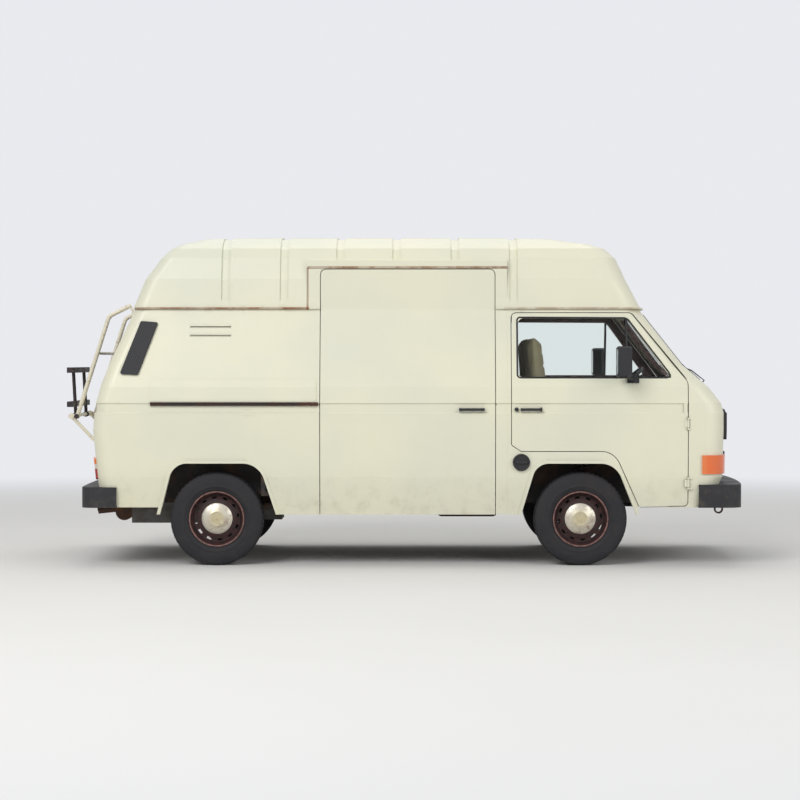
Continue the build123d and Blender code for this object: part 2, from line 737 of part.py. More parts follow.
# Front and rear furniture
UPPER_GRILLE_BOTTOM = 850
UPPER_GRILLE_TOP = 1054
UPPER_GRILLE_HALF = 800
LOWER_GRILLE_BOTTOM = 612
LOWER_GRILLE_TOP = 760
LOWER_GRILLE_HALF = 560
GRILLE_PROUD = 20
TRIM_PROUD = 14
HEADLAMP_Y = 640
HEADLAMP_Z = 952
HEADLAMP_RADIUS = 88
SLAT_COUNT = 5
SLAT_GAP_SHARE = 0.55
GRILLE_CORNER = 20
GRILLE_EDGE = 12
LAMP_MARGIN = 290
SLAT_MARGIN = 30
NOSE_OPENING_MARGIN = 15
INDICATOR_REAR_X = 2012
INDICATOR_Z = (622, 748)
INDICATOR_GAP = 12
TAIL_LAMP_MIDDLE = (-790, 655)
TAIL_LAMP_SIZE = (120, 150)
TAIL_LAMP_CORNER = 15
INTAKE_POINTS = ((-1774, 1654), (-1656, 1645), (-1787, 1288), (-1911, 1295))
INTAKE_CORNER = 12
RAIL_END_GAP = 8


def lower_grille_face():
    width = 2 * (LOWER_GRILLE_HALF - NOSE_OPENING_MARGIN)
    height = LOWER_GRILLE_TOP - LOWER_GRILLE_BOTTOM - 2 * NOSE_OPENING_MARGIN
    return Pos(0, (LOWER_GRILLE_BOTTOM + LOWER_GRILLE_TOP) / 2) * RectangleRounded(width, height, GRILLE_EDGE)


def grille(bottom, top, half, lamps):
    """A moulded grille that stands proud of the nose, with slots between its slats."""
    middle = (bottom + top) / 2
    outline = Pos(0, middle) * RectangleRounded(2 * half, top - bottom, GRILLE_CORNER)
    if lamps:
        for side in (-1, 1):
            outline = outline - Pos(side * HEADLAMP_Y, HEADLAMP_Z) * Circle(HEADLAMP_RADIUS + SEAT_GAP)
    slot_half = half - (LAMP_MARGIN if lamps else SLAT_MARGIN)
    pitch = (top - bottom - 2 * GRILLE_EDGE) / SLAT_COUNT
    for index in range(SLAT_COUNT):
        height = bottom + GRILLE_EDGE + pitch * (index + 0.5)
        outline = outline - Pos(0, height) * Rectangle(2 * slot_half, pitch * SLAT_GAP_SHARE)
    return layer(-GRILLE_PROUD, -SEAT_GAP, front_prism(outline, FRONT_AXLE_X, NOSE_END))


def pull_handle(x0, x1):
    """A bar along the body, held off it by a foot at each end."""
    low, high = HANDLE_Z - HANDLE_HEIGHT / 2, HANDLE_Z + HANDLE_HEIGHT / 2
    handle = layer(-HANDLE_PROUD, HANDLE_BAR_DEPTH - HANDLE_PROUD, right_side(x0, x1, low, high))
    for foot_rear in (x0, x1 - HANDLE_HEIGHT):
        foot = right_side(foot_rear, foot_rear + HANDLE_HEIGHT, low, high)
        handle = handle + layer(-HANDLE_PROUD, -SEAT_GAP, foot)
    return handle


def build_front():
    upper = grille(UPPER_GRILLE_BOTTOM, UPPER_GRILLE_TOP, UPPER_GRILLE_HALF, True)
    lower = grille(LOWER_GRILLE_BOTTOM, LOWER_GRILLE_TOP, LOWER_GRILLE_HALF, False)
    export(Compound(children=[*upper.solids(), *lower.solids()]), "grilles")

    lens = front_prism(Pos(-HEADLAMP_Y, HEADLAMP_Z) * Circle(HEADLAMP_RADIUS), FRONT_AXLE_X, NOSE_END)
    export(both_sides(layer(-GRILLE_PROUD, -SEAT_GAP, lens)), "headlamps")

    # Indicators wrap the front corners
    inner_end = -LOWER_GRILLE_HALF - INDICATOR_GAP
    wrap = block(INDICATOR_REAR_X, NOSE_END, -FAR_SIDE, inner_end, *INDICATOR_Z)
    export(both_sides(layer(-TRIM_PROUD, -SEAT_GAP, wrap)), "front_indicators")

    # Tail lamps sit low on the rear face
    lamp_face = Pos(*TAIL_LAMP_MIDDLE) * RectangleRounded(*TAIL_LAMP_SIZE, TAIL_LAMP_CORNER)
    lamp = front_prism(lamp_face, TAIL_END, REAR_AXLE_X)
    export(both_sides(layer(-TRIM_PROUD, -SEAT_GAP, lamp)), "tail_lamps")

    # Air intakes on the rear pillars
    outline = rounded_face(INTAKE_POINTS, [INTAKE_CORNER] * len(INTAKE_POINTS))
    intake = side_prism(outline, -FAR_SIDE, SIDE_PLANE)
    export(both_sides(layer(-TRIM_PROUD, -SEAT_GAP, intake)), "air_intakes")

    # Rail that carries the sliding door, and the fuel cap
    rail = right_side(RAIL_COVER_X[0], SLIDING_DOOR_REAR_X - RAIL_END_GAP, *RAIL_Z)
    export(layer(-TRIM_PROUD, -SEAT_GAP, rail), "sliding_door_rail")
    cap = side_prism(Pos(FUEL_CAP_X, FUEL_CAP_Z) * Circle(FUEL_CAP_RADIUS), -FAR_SIDE, SIDE_PLANE)
    export(layer(-TRIM_PROUD, -SEAT_GAP, cap), "fuel_cap")

    # Door handles: a pull bar on two feet, and on the cab doors a round lock behind it
    lock = side_prism(Pos(CAB_LOCK_X, HANDLE_Z) * Circle(CAB_LOCK_RADIUS), -FAR_SIDE, SIDE_PLANE)
    cab_handle = pull_handle(*CAB_HANDLE_X)
    pad_low, pad_high = HANDLE_Z - CAB_LOCK_RADIUS, HANDLE_Z + CAB_LOCK_RADIUS
    pad = right_side(CAB_HANDLE_X[1] - HANDLE_PAD_LENGTH, CAB_HANDLE_X[1], pad_low, pad_high)
    cab_handle = cab_handle + layer(-HANDLE_PAD_PROUD, -SEAT_GAP, pad)
    lock_boss = layer(-TRIM_PROUD, -SEAT_GAP, lock)
    cab_handle = Compound(children=[*cab_handle.solids(), *lock_boss.solids()])
    export(cab_handle, "door_handle_right")
    export(left_of(cab_handle), "door_handle_left")
    export(pull_handle(*SLIDING_HANDLE_X), "sliding_door_handle")


# Bumpers: bottom, top, nose or tail of the plan, reach along the sides
FRONT_BUMPER = (395, 550, 2275, 1990)
REAR_BUMPER = (393, 531, -2168, -1931)
BUMPER_HALF = 934
BUMPER_WALL = 14
BUMPER_CORNERS = (110, 90)
BUMPER_FAR_END = 1500


def build_bumpers():
    bumpers = []
    bulges = (NOSE_BULGE + 2, TAIL_BULGE)
    for bottom, top, end, reach in (FRONT_BUMPER, REAR_BUMPER):
        nose, tail = (end, -BUMPER_FAR_END) if end > 0 else (BUMPER_FAR_END, end)
        outer_plan = plan_outline(nose, tail, BUMPER_HALF, *bulges, *BUMPER_CORNERS)
        inner_plan = plan_outline(
            nose - BUMPER_WALL, tail + BUMPER_WALL, BUMPER_HALF - BUMPER_WALL,
            *bulges, *(corner - BUMPER_WALL for corner in BUMPER_CORNERS),
        )
        outer = Pos(0, 0, bottom) * extrude(outer_plan, top - bottom)
        inner = Pos(0, 0, bottom + BUMPER_WALL) * extrude(inner_plan, top - bottom - 2 * BUMPER_WALL)
        span = (reach, NOSE_END) if end > 0 else (TAIL_END, reach)
        keep = block(*span, -FAR_SIDE, FAR_SIDE, BELOW, ABOVE)
        shape = ((outer - inner) & keep) - shell_volume("body", -SEAT_GAP)
        bumpers.extend(shape.solids())
    export(Compound(children=bumpers), "bumpers")


def build_floor():
    """Floors, seat box, wheel housings and chassis rails as one welded pan."""
    load_bottom = LOAD_FLOOR_Z - SHEET
    rear = cross_block(RISER_X[0], CAB_REAR_X, FLOOR_HALF, load_bottom, LOAD_FLOOR_Z)
    rear = rear + cross_block(FRAME_REAR_X, RISER_X[1], FLOOR_HALF, REAR_DECK_Z - SHEET, REAR_DECK_Z)
    rear = rear + cross_block(*RISER_X, FLOOR_HALF, load_bottom, REAR_DECK_Z)
    well = block(REAR_WELL_X, RISER_X[1], -REAR_WELL_Y, -REAR_WELL_Y + WELL_SHEET, load_bottom, REAR_DECK_Z)
    rear = rear + well + left_of(well)
    rear = rear & shell_volume("body", WALL + SEAT_GAP)

    step_x = CAB_REAR_X - SHEET
    cab_bottom = CAB_FLOOR_Z - SHEET
    cab = cross_block(step_x, CAB_FLOOR_FRONT_X, AISLE_HALF, cab_bottom, CAB_FLOOR_Z)
    cab = cab + cross_block(SEAT_BOX_FRONT_X - SHEET, CAB_FLOOR_FRONT_X, FLOOR_HALF, cab_bottom, CAB_FLOOR_Z)
    bulkhead_top = DASH_BOTTOM_Z - SEAT_GAP
    cab = cab + cross_block(BULKHEAD_X, BULKHEAD_X + BULKHEAD_SHEET, FLOOR_HALF, cab_bottom, bulkhead_top)
    cab = cab + cross_block(step_x, CAB_REAR_X, FLOOR_HALF, load_bottom, SEAT_BOX_Z)
    cab = cab + cross_block(step_x, SEAT_BOX_FRONT_X, FLOOR_HALF, SEAT_BOX_Z - SHEET, SEAT_BOX_Z)
    cab = cab + cross_block(SEAT_BOX_FRONT_X - SHEET, SEAT_BOX_FRONT_X, FLOOR_HALF, cab_bottom, SEAT_BOX_Z)
    box_side = block(step_x, SEAT_BOX_FRONT_X, -AISLE_HALF, -AISLE_HALF + WELL_SHEET, cab_bottom, SEAT_BOX_Z)
    cab = cab + box_side + left_of(box_side)
    door_zone = shell_volume("body", WALL + SEAM + 1)
    nose_zone = shell_volume("body", WALL + SEAT_GAP) & cross_block(1500, NOSE_END, 700, BELOW, ABOVE)
    cab = (cab & door_zone) + (cab & nose_zone)

    rail_outer, rail_inner = -RAIL_Y - RAIL_WIDTH / 2, -RAIL_Y + RAIL_WIDTH / 2
    rails = block(FRAME_REAR_X, FRAME_FRONT_X, rail_outer, rail_inner, RAIL_BOTTOM_Z, load_bottom)
    rails = rails & shell_volume("body", WALL + SEAT_GAP)
    rails = rails + block(CAB_REAR_X, FRAME_FRONT_X, rail_outer, rail_inner, load_bottom, cab_bottom)
    export(rear + cab + rails + left_of(rails), "floor_pan")

    # The radiator stands on the floor between the bulkhead and the lower grille
    radiator_foot = CAB_FLOOR_Z + SEAT_GAP
    radiator = cross_block(*RADIATOR_X, RADIATOR_HALF, radiator_foot, radiator_foot + RADIATOR_HEIGHT)
    export(radiator, "radiator")


def tyre_shape():
    """A tyre round Y: flats across the tread and the shoulders, which keep all five light to draw."""
    def ring(radius):
        return Plane.XZ * RegularPolygon(radius, TYRE_FLATS, major_radius=False, rotation=180 / TYRE_FLATS)

    tread = extrude(ring(TYRE_RADIUS), TREAD_WIDTH / 2, both=True)
    shoulder_width = (TYRE_WIDTH - TREAD_WIDTH) / 2
    sides = tread.faces().sort_by(Axis.Y)
    for side in (sides[0], sides[-1]):
        tread = tread + extrude(side, shoulder_width, taper=SHOULDER_TAPER)
    return tread - extrude(ring(TYRE_BORE), TYRE_WIDTH, both=True)


def build_wheels():
    corners = (
        ("front_right", FRONT_AXLE_X, -1),
        ("front_left", FRONT_AXLE_X, 1),
        ("rear_right", REAR_AXLE_X, -1),
        ("rear_left", REAR_AXLE_X, 1),
    )
    tyre = tyre_shape()
    disc_face = DISC_INNER_FACE + DISC_THICKNESS
    barrel = RIM_RADIUS - RIM_WALL
    wheel_profile = make_face(Polyline(
        (STUB_RADIUS + RUNNING_FIT, DISC_INNER_FACE),
        (barrel, DISC_INNER_FACE),
        (barrel, -RIM_INNER_EDGE),
        (RIM_RADIUS, -RIM_INNER_EDGE),
        (RIM_RADIUS, RIM_OUTER_EDGE),
        (RIM_FLANGE_RADIUS, RIM_OUTER_EDGE + RIM_FLANGE),
        (barrel, RIM_OUTER_EDGE + RIM_FLANGE),
        (barrel, disc_face),
        (HUB_CAP_RADIUS, disc_face),
        (HUB_CAP_RADIUS, disc_face + HUB_CAP_RIM),
        (HUB_CAP_CROWN_RADIUS, disc_face + HUB_CAP_DEPTH),
        (0, disc_face + HUB_CAP_DEPTH),
        (0, disc_face),
        (STUB_RADIUS + RUNNING_FIT, disc_face),
        close=True,
    ))
    slot_radius = (HUB_CAP_RADIUS + barrel) / 2
    slot = Rectangle(AIR_SLOT_WIDTH, AIR_SLOT_LENGTH)
    slot = chamfer(slot.vertices(), AIR_SLOT_CORNER)
    slots = [
        Plane.XZ.offset(-disc_face - 1) * Rot(0, 0, 360 / AIR_SLOT_COUNT * index) * Pos(slot_radius, 0) * slot
        for index in range(AIR_SLOT_COUNT)
    ]
    air_slots = [extrude(slot, DISC_THICKNESS + 2) for slot in slots]
    wheel = revolve(wheel_profile, Axis.Y) - air_slots
    for name, axle_x, side in corners:
        # The profiles are drawn as radius and distance outboard of the tyre's middle.
        turn = Location((axle_x, side * TRACK_HALF, TYRE_RADIUS), (0, 0, 0 if side > 0 else 180))
        export(turn * tyre, f"tyre_{name}")
        export(turn * wheel, f"wheel_{name}")
    spare_z = CAB_FLOOR_Z - SHEET - SEAT_GAP - TYRE_WIDTH / 2
    spare = Location((SPARE_X, 0, spare_z), (90, 0, 0)) * tyre
    dish = post(SPARE_X, 0, spare_z - SPARE_DISH_DROP, spare_z - SPARE_DISH_DROP / 2, TYRE_BORE - SEAT_GAP)
    export(Compound(children=[spare.solids()[0], dish.solids()[0]]), "spare_wheel")


def damper(x, y, foot_z, head_z):
    """A damper's tube, with the round mount that bears on the panel above it."""
    head_bottom = head_z - DAMPER_HEAD_HEIGHT
    tube = post(x, y, foot_z, head_bottom, DAMPER_RADIUS)
    return tube + post(x, y, head_bottom, head_z, DAMPER_HEAD_RADIUS)


def build_knuckles():
    knuckle = post(FRONT_AXLE_X, -KINGPIN_Y, UPRIGHT_BOTTOM, UPRIGHT_TOP, UPRIGHT_RADIUS)
    pin_bottom, pin_top = UPRIGHT_BOTTOM - EYE_HEIGHT, UPRIGHT_TOP + EYE_HEIGHT
    knuckle = knuckle + post(FRONT_AXLE_X, -KINGPIN_Y, pin_bottom, pin_top, KINGPIN_RADIUS)
    stub_end = TRACK_HALF + DISC_INNER_FACE + DISC_THICKNESS - STUB_SETBACK
    knuckle = knuckle + cross_disc(FRONT_AXLE_X, TYRE_RADIUS, -stub_end, -KINGPIN_Y, STUB_RADIUS)
    arm_x = FRONT_AXLE_X - STEERING_ARM_LENGTH
    arm_bottom, arm_top = STEERING_ARM_Z - STEERING_ARM_HALF, STEERING_ARM_Z + STEERING_ARM_HALF
    arm_outer, arm_inner = -KINGPIN_Y - STEERING_ARM_SIDES[0], -KINGPIN_Y + STEERING_ARM_SIDES[1]
    arm = block(arm_x - STEERING_ARM_TIP, FRONT_AXLE_X, arm_outer, arm_inner, arm_bottom, arm_top)
    knuckle = knuckle + arm
    export(knuckle, "knuckle_right")
    export(left_of(knuckle), "knuckle_left")

    # Wishbones on a crossmember under the chassis rails
    side = None
    for z in (UPRIGHT_BOTTOM - EYE_HEIGHT / 2 - 1, UPRIGHT_TOP + EYE_HEIGHT / 2 + 1):
        arm = post(FRONT_AXLE_X, -KINGPIN_Y, z - EYE_HEIGHT / 2, z + EYE_HEIGHT / 2, EYE_RADIUS)
        for pivot_x in (WISHBONE_REAR_X, WISHBONE_FRONT_X):
            arm = arm + rod((pivot_x, -RAIL_Y, z), (FRONT_AXLE_X, -KINGPIN_Y, z), ARM_ROD_RADIUS)
        arm = arm - post(FRONT_AXLE_X, -KINGPIN_Y, z - 40, z + 40, KINGPIN_RADIUS + RUNNING_FIT)
        side = arm if side is None else side + arm
    x, y = DAMPER_FRONT
    lower_z = UPRIGHT_BOTTOM - EYE_HEIGHT / 2 - 1
    pin_rear, pin_front = x - DAMPER_PIN_HALF, x + DAMPER_PIN_HALF
    side = side + rod((pin_rear, -y, lower_z), (pin_front, -y, lower_z), ARM_ROD_RADIUS)
    side = side + damper(x, -y, lower_z, SEAT_BOX_Z - SHEET - SEAT_GAP)
    rack_x = FRONT_AXLE_X - STEERING_ARM_LENGTH
    beam_rear = rack_x + RACK_RADIUS + SEAT_GAP
    rail_half = RAIL_WIDTH / 2
    beam = cross_block(beam_rear, BEAM_FRONT_X, RAIL_Y + rail_half, BEAM_BOTTOM_Z, BEAM_TOP_Z)
    leg_outer, leg_inner = -RAIL_Y - rail_half, -RAIL_Y + rail_half
    leg = block(beam_rear, BEAM_FRONT_X, leg_outer, leg_inner, BEAM_BOTTOM_Z, RAIL_BOTTOM_Z - SEAT_GAP)
    leg = leg + side
    export(beam + leg + left_of(leg), "front_crossmember")

    # Steering rack across the back of the crossmember, with its track rods over the arms
    rack_z = BEAM_TOP_Z - RACK_RADIUS
    rack = cross_disc(rack_x, rack_z, -RACK_HALF, RACK_HALF, RACK_RADIUS)
    track_rod = rod((rack_x, -RACK_HALF + 10, rack_z), (rack_x, -KINGPIN_Y + 8, TIE_ROD_Z), TIE_ROD_RADIUS)
    export(rack + track_rod + left_of(track_rod), "steering_rack")


def build_rear_axle():
    hub_y = TRACK_HALF - HUB_SETBACK
    stub_end = TRACK_HALF + DISC_INNER_FACE + DISC_THICKNESS - STUB_SETBACK
    bush_y = RAIL_Y + RAIL_WIDTH / 2 + SEAT_GAP
    hub = (REAR_AXLE_X, -hub_y + ARM_SETBACK, TYRE_RADIUS)
    arm_end = (TRAILING_PIVOT_X, -bush_y - BUSH_WIDTH / 2, TRAILING_PIVOT_Z)
    shaft_end = (REAR_AXLE_X, -GEARBOX_HALF - SEAT_GAP - ARM_ROD_RADIUS, DRIVE_Z)
    brake_outer, brake_inner = -hub_y - BRAKE_SIDES[0], -hub_y + BRAKE_SIDES[1]
    side = cross_disc(REAR_AXLE_X, TYRE_RADIUS, brake_outer, brake_inner, BRAKE_RADIUS)
    side = side + cross_disc(REAR_AXLE_X, TYRE_RADIUS, -stub_end, -hub_y, STUB_RADIUS)
    side = side + cross_disc(TRAILING_PIVOT_X, TRAILING_PIVOT_Z, -bush_y - BUSH_WIDTH, -bush_y, BUSH_RADIUS)
    side = side + rod(hub, arm_end, TRAILING_ARM_RADIUS)
    side = side + rod(hub, shaft_end, STUB_RADIUS)
    x, y = DAMPER_REAR
    along = (hub[1] + y) / (hub[1] - arm_end[1])
    foot_z = hub[2] + along * (arm_end[2] - hub[2])
    side = side + damper(x, -y, foot_z, REAR_DECK_Z - SHEET - SEAT_GAP)
    export(both_sides(side), "rear_axle")
    mount_half = RAIL_Y - RAIL_WIDTH / 2 - SEAT_GAP
    engine = cross_block(ENGINE_REAR_X, ENGINE_FRONT_X, ENGINE_HALF, *ENGINE_Z)
    engine = engine + cross_block(ENGINE_FRONT_X - 1, GEARBOX_FRONT_X, GEARBOX_HALF, *GEARBOX_Z)
    engine = engine + cross_block(*ENGINE_MOUNT_X, mount_half, *MOUNT_Z)
    engine = engine + cross_block(*GEARBOX_MOUNT_X, mount_half, *MOUNT_Z)
    export(engine, "engine_and_gearbox")
    silencer_x = ENGINE_REAR_X - SILENCER_RADIUS - SEAT_GAP
    silencer = cross_disc(silencer_x, SILENCER_Z, -SILENCER_HALF, SILENCER_HALF, SILENCER_RADIUS)
    pipe = rod((silencer_x, PIPE_Y, SILENCER_Z + PIPE_RADIUS), (PIPE_END_X, PIPE_Y, SILENCER_Z), PIPE_RADIUS)
    export(silencer + pipe, "exhaust")
    tank_top = LOAD_FLOOR_Z - SHEET - SEAT_GAP
    tank = cross_block(*TANK_X, mount_half - ARM_ROD_RADIUS, tank_top - TANK_DEPTH, tank_top)
    export(fillet(tank.edges().filter_by(Axis.Y), TANK_CORNER), "fuel_tank")


def build_cab():
    dash = cross_block(DASH_REAR_X, DASH_FRONT_X, DASH_HALF, DASH_BOTTOM_Z, DASH_TOP_Z)
    dash = dash & shell_volume("body", WALL + SEAM + 3)
    shelf = cross_block(CAB_DOOR_FRONT_X + SEAM, NOSE_END, DASH_SHELF_HALF, DASH_BOTTOM_Z, DASH_TOP_Z)
    dash = dash + (shelf & shell_volume("body", WALL + SEAT_GAP))
    column_axis = Vector(math.sin(COLUMN_TILT), 0, -math.cos(COLUMN_TILT))
    centre = Vector(STEERING_WHEEL_X, STEERING_WHEEL_Y, STEERING_WHEEL_Z)
    column_top = centre + column_axis * COLUMN_START
    column_foot = centre + column_axis * COLUMN_END
    shaft_end = centre + column_axis * SHAFT_LENGTH
    column = rod(column_top, column_foot, COLUMN_RADIUS)
    bracket_sides = STEERING_WHEEL_Y - BRACKET_HALF, STEERING_WHEEL_Y + BRACKET_HALF
    bracket = block(*BRACKET_X, *bracket_sides, *BRACKET_Z)
    column = column + bracket - rod(centre, shaft_end + column_axis, SHAFT_RADIUS + RUNNING_FIT)
    export(dash + column, "dashboard")

    wheel_place = Plane(origin=centre, z_dir=column_axis)
    rim_section = Plane.XZ * Pos(STEERING_WHEEL_RADIUS, 0) * RegularPolygon(STEERING_RIM_RADIUS, 8)
    rim = wheel_place * revolve(rim_section, Axis.Z)
    hub = wheel_place * Cylinder(STEERING_HUB_RADIUS, STEERING_HUB_DEPTH)
    spoke = Box(2 * STEERING_WHEEL_RADIUS, SPOKE_WIDTH, SPOKE_THICKNESS)
    spokes = wheel_place * spoke + wheel_place * Rot(0, 0, 90) * spoke
    shaft = rod(centre, shaft_end, SHAFT_RADIUS)
    export(rim + hub + spokes + shaft, "steering_wheel")

    bases, cushions, backs = [], [], []
    base_bottom = SEAT_BOX_Z + SEAT_GAP
    base_top = base_bottom + SEAT_BASE_HEIGHT
    seat_bottom = base_top + SEAT_GAP
    cushion_face = rounded_face((
        (CUSHION_REAR_X + SEAT_GAP, seat_bottom),
        (CUSHION_FRONT_X, seat_bottom),
        (CUSHION_FRONT_X, base_top + CUSHION_HEIGHT),
        (CUSHION_REAR_X + SEAT_GAP, base_top + CUSHION_HEIGHT - SEAT_EDGE),
    ), (0, SEAT_EDGE, 3 * SEAT_EDGE, 0))
    back_rear = CUSHION_REAR_X - SEAT_BACK_DEPTH
    back_top = base_top + SEAT_BACK_HEIGHT
    back_face = rounded_face((
        (back_rear, seat_bottom),
        (CUSHION_REAR_X, seat_bottom),
        (CUSHION_REAR_X, base_top + CUSHION_HEIGHT),
        (CUSHION_REAR_X - SEAT_RECLINE, back_top),
        (back_rear - SEAT_RECLINE / 2, back_top),
    ), (0, 0, 0, 2 * SEAT_EDGE, 2 * SEAT_EDGE))
    for y in (-SEAT_Y, SEAT_Y):
        base = block(*SEAT_BASE_X, y - SEAT_BASE_HALF, y + SEAT_BASE_HALF, base_bottom, base_top)
        bases.append(base.solids()[0])
        for face, half, pads in ((cushion_face, CUSHION_HALF, cushions), (back_face, SEAT_BACK_HALF, backs)):
            pad = side_prism(face, y - half, y + half)
            ends = pad.faces().filter_by(Axis.Y)
            pads.append(chamfer(ends.edges(), SEAT_EDGE).solids()[0])
    export(Compound(children=bases), "seat_bases")
    export(Compound(children=cushions), "seat_cushions")
    export(Compound(children=backs), "seat_backs")


def tailgate_pad(y, z0, z1):
    return layer(-TRIM_PROUD, -SEAT_GAP, block(TAIL_END, REAR_AXLE_X, y - PAD_HALF, y + PAD_HALF, z0, z1))


def build_rack():
    """Carrier on the tailgate: two bent uprights, cross tubes and a fold-down platform."""
    arm = bent_tube((RACK_HEAD, RACK_KNEE, RACK_FOOT), RACK_BEND, RACK_TUBE)
    link = rod(RACK_FOOT, RACK_HINGE, RACK_BAR)
    lower = rod(RACK_HINGE, RACK_HEEL, RACK_BAR) + rod(RACK_HEEL, RACK_TOE, RACK_BAR)
    for (x, y, z), boss in RACK_BOSSES:
        lower = lower + cross_disc(x, z, y - boss, y + boss, boss)
    hook = rod(*HOOK_ENDS, HOOK_RADIUS)
    pads = tailgate_pad(-RACK_ARM_Y, *UPPER_PAD_Z) + tailgate_pad(-RACK_ARM_Y, *LOWER_PAD_Z)
    side = arm + link + lower + hook + pads
    middle_bar = cross_disc(*MIDDLE_BAR, -RACK_ARM_Y, RACK_ARM_Y, RACK_BAR - 1)
    hinge_x, _, hinge_z = RACK_HINGE
    hinge_bar = cross_disc(hinge_x, hinge_z, -RACK_ARM_Y, RACK_ARM_Y, RACK_BAR)
    export(side + middle_bar + hinge_bar + left_of(side), "rack_frame")

    rails = [
        cross_block(*PLATFORM_X, PLATFORM_HALF, z, z + PLATFORM_RAIL_HEIGHT) for z in PLATFORM_RAIL_Z
    ]
    platform = rails[0] + rails[1]
    arm_top = (sum(PLATFORM_X) / 2, PLATFORM_RAIL_Z[1] + PLATFORM_RAIL_HEIGHT / 2)
    for y in (-PLATFORM_ARM_Y, PLATFORM_ARM_Y):
        bush = cross_disc(hinge_x, hinge_z, y - PLATFORM_BUSH_HALF, y + PLATFORM_BUSH_HALF, RACK_TUBE + SEAM)
        platform = platform + bush + rod((hinge_x, y, hinge_z), (arm_top[0], y, arm_top[1]), RACK_BAR)
    platform = platform - cross_disc(hinge_x, hinge_z, -PLATFORM_HALF, PLATFORM_HALF, RACK_BAR + RUNNING_FIT)
    export(platform, "rack_platform")


def build_mirrors():
    """Door mirrors: a housing that narrows forwards, with a recess for the glass, on an arm."""
    foot = layer(-TRIM_PROUD, -SEAT_GAP, right_side(*MIRROR_FOOT_X, *MIRROR_FOOT_Z))
    outer, inner = -MIRROR_OUTER_Y, -MIRROR_OUTER_Y + MIRROR_WIDTH
    rear, front = MIRROR_REAR_X, MIRROR_REAR_X + MIRROR_DEPTH
    plan = make_face(Polyline(
        (rear, outer), (front - MIRROR_TAPER, outer), (front, outer + MIRROR_TAPER),
        (front, inner - MIRROR_TAPER), (front - MIRROR_TAPER, inner), (rear, inner),
        close=True,
    ))
    head = Pos(0, 0, MIRROR_BOTTOM_Z) * extrude(plan, MIRROR_HEIGHT)
    ends = head.faces().sort_by(Axis.Z)
    head = chamfer(ends[0].edges() + ends[-1].edges(), MIRROR_CORNER)
    margin = MIRROR_CORNER + MIRROR_RIM
    head = head - block(
        rear - 1, rear + MIRROR_RECESS, outer + MIRROR_RIM, inner - MIRROR_RIM,
        MIRROR_BOTTOM_Z + margin, MIRROR_BOTTOM_Z + MIRROR_HEIGHT - margin,
    )
    arm_foot = (sum(MIRROR_FOOT_X) / 2, -906, sum(MIRROR_FOOT_Z) / 2)
    arm_head = (rear + MIRROR_DEPTH / 2, (outer + inner) / 2, MIRROR_BOTTOM_Z + MIRROR_CORNER)
    mirror_shape = foot + rod(arm_foot, arm_head, MIRROR_ARM_RADIUS) + head
    export(mirror_shape, "mirror_right")
    export(left_of(mirror_shape), "mirror_left")


def build_tow_eyes():
    eyes = []
    rail_under = RAIL_BOTTOM_Z - SEAT_GAP
    for ring_x, root_x in TOW_EYES:
        bar_rear, bar_front = sorted((ring_x, root_x))
        bar = block(bar_rear, bar_front, -RAIL_Y - TOW_EYE_HALF, -RAIL_Y + TOW_EYE_HALF, *TOW_BAR_Z)
        plate = block(
            root_x, root_x + TOW_PLATE_LENGTH, -RAIL_Y - TOW_PLATE_HALF, -RAIL_Y + TOW_PLATE_HALF,
            TOW_BAR_Z[0], rail_under,
        )
        ring = cross_disc(ring_x, TOW_EYE_Z, -RAIL_Y - TOW_EYE_HALF, -RAIL_Y + TOW_EYE_HALF, TOW_EYE_OUTER)
        hole = cross_disc(ring_x, TOW_EYE_Z, -RAIL_Y - TOW_EYE_OUTER, -RAIL_Y + TOW_EYE_OUTER, TOW_EYE_RADIUS)
        eyes.append((bar + plate + ring - hole).solids()[0])
    export(Compound(children=eyes), "tow_eyes")


build_panels()
build_roof()
build_front()
build_bumpers()
build_floor()
build_wheels()
build_knuckles()
build_rear_axle()
build_cab()
build_rack()
build_mirrors()
build_tow_eyes()
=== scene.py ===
import math

import bmesh
import bpy
from mathutils import Matrix, Vector
from mathutils.bvhtree import BVHTree


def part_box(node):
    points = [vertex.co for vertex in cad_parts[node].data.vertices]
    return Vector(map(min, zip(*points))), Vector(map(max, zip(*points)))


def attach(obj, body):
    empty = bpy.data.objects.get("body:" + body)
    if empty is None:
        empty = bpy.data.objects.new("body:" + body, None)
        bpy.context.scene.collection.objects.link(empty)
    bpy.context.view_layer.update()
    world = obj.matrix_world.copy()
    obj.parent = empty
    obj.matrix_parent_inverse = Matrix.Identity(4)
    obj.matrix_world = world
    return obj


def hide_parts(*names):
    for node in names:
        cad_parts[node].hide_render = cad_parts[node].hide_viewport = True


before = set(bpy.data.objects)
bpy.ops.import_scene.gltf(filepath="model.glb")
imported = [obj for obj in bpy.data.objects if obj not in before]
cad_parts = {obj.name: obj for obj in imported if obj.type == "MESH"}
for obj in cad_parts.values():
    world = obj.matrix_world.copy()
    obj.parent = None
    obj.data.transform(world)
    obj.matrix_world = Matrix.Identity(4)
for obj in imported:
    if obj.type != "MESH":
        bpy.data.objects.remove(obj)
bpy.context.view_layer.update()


# Viewpoint. The photograph looks square at the right-hand side from about fifteen metres,
# at chest height, so the outline has almost no perspective. The lens is long enough for the
# van to fill the picture.
CAMERA_PLACE = Vector((0.055, -16.02, 1.38))
CAMERA_AIM = Vector((-0.02, -0.92, 1.12))
CAMERA_LENS = 101.0

camera_data = bpy.data.cameras.new("camera")
camera_data.lens = CAMERA_LENS
camera_data.clip_end = 400
camera = bpy.data.objects.new("camera", camera_data)
camera.location = CAMERA_PLACE
camera.rotation_euler = (CAMERA_AIM - CAMERA_PLACE).to_track_quat("-Z", "Y").to_euler()
bpy.context.scene.collection.objects.link(camera)
bpy.context.scene.camera = camera


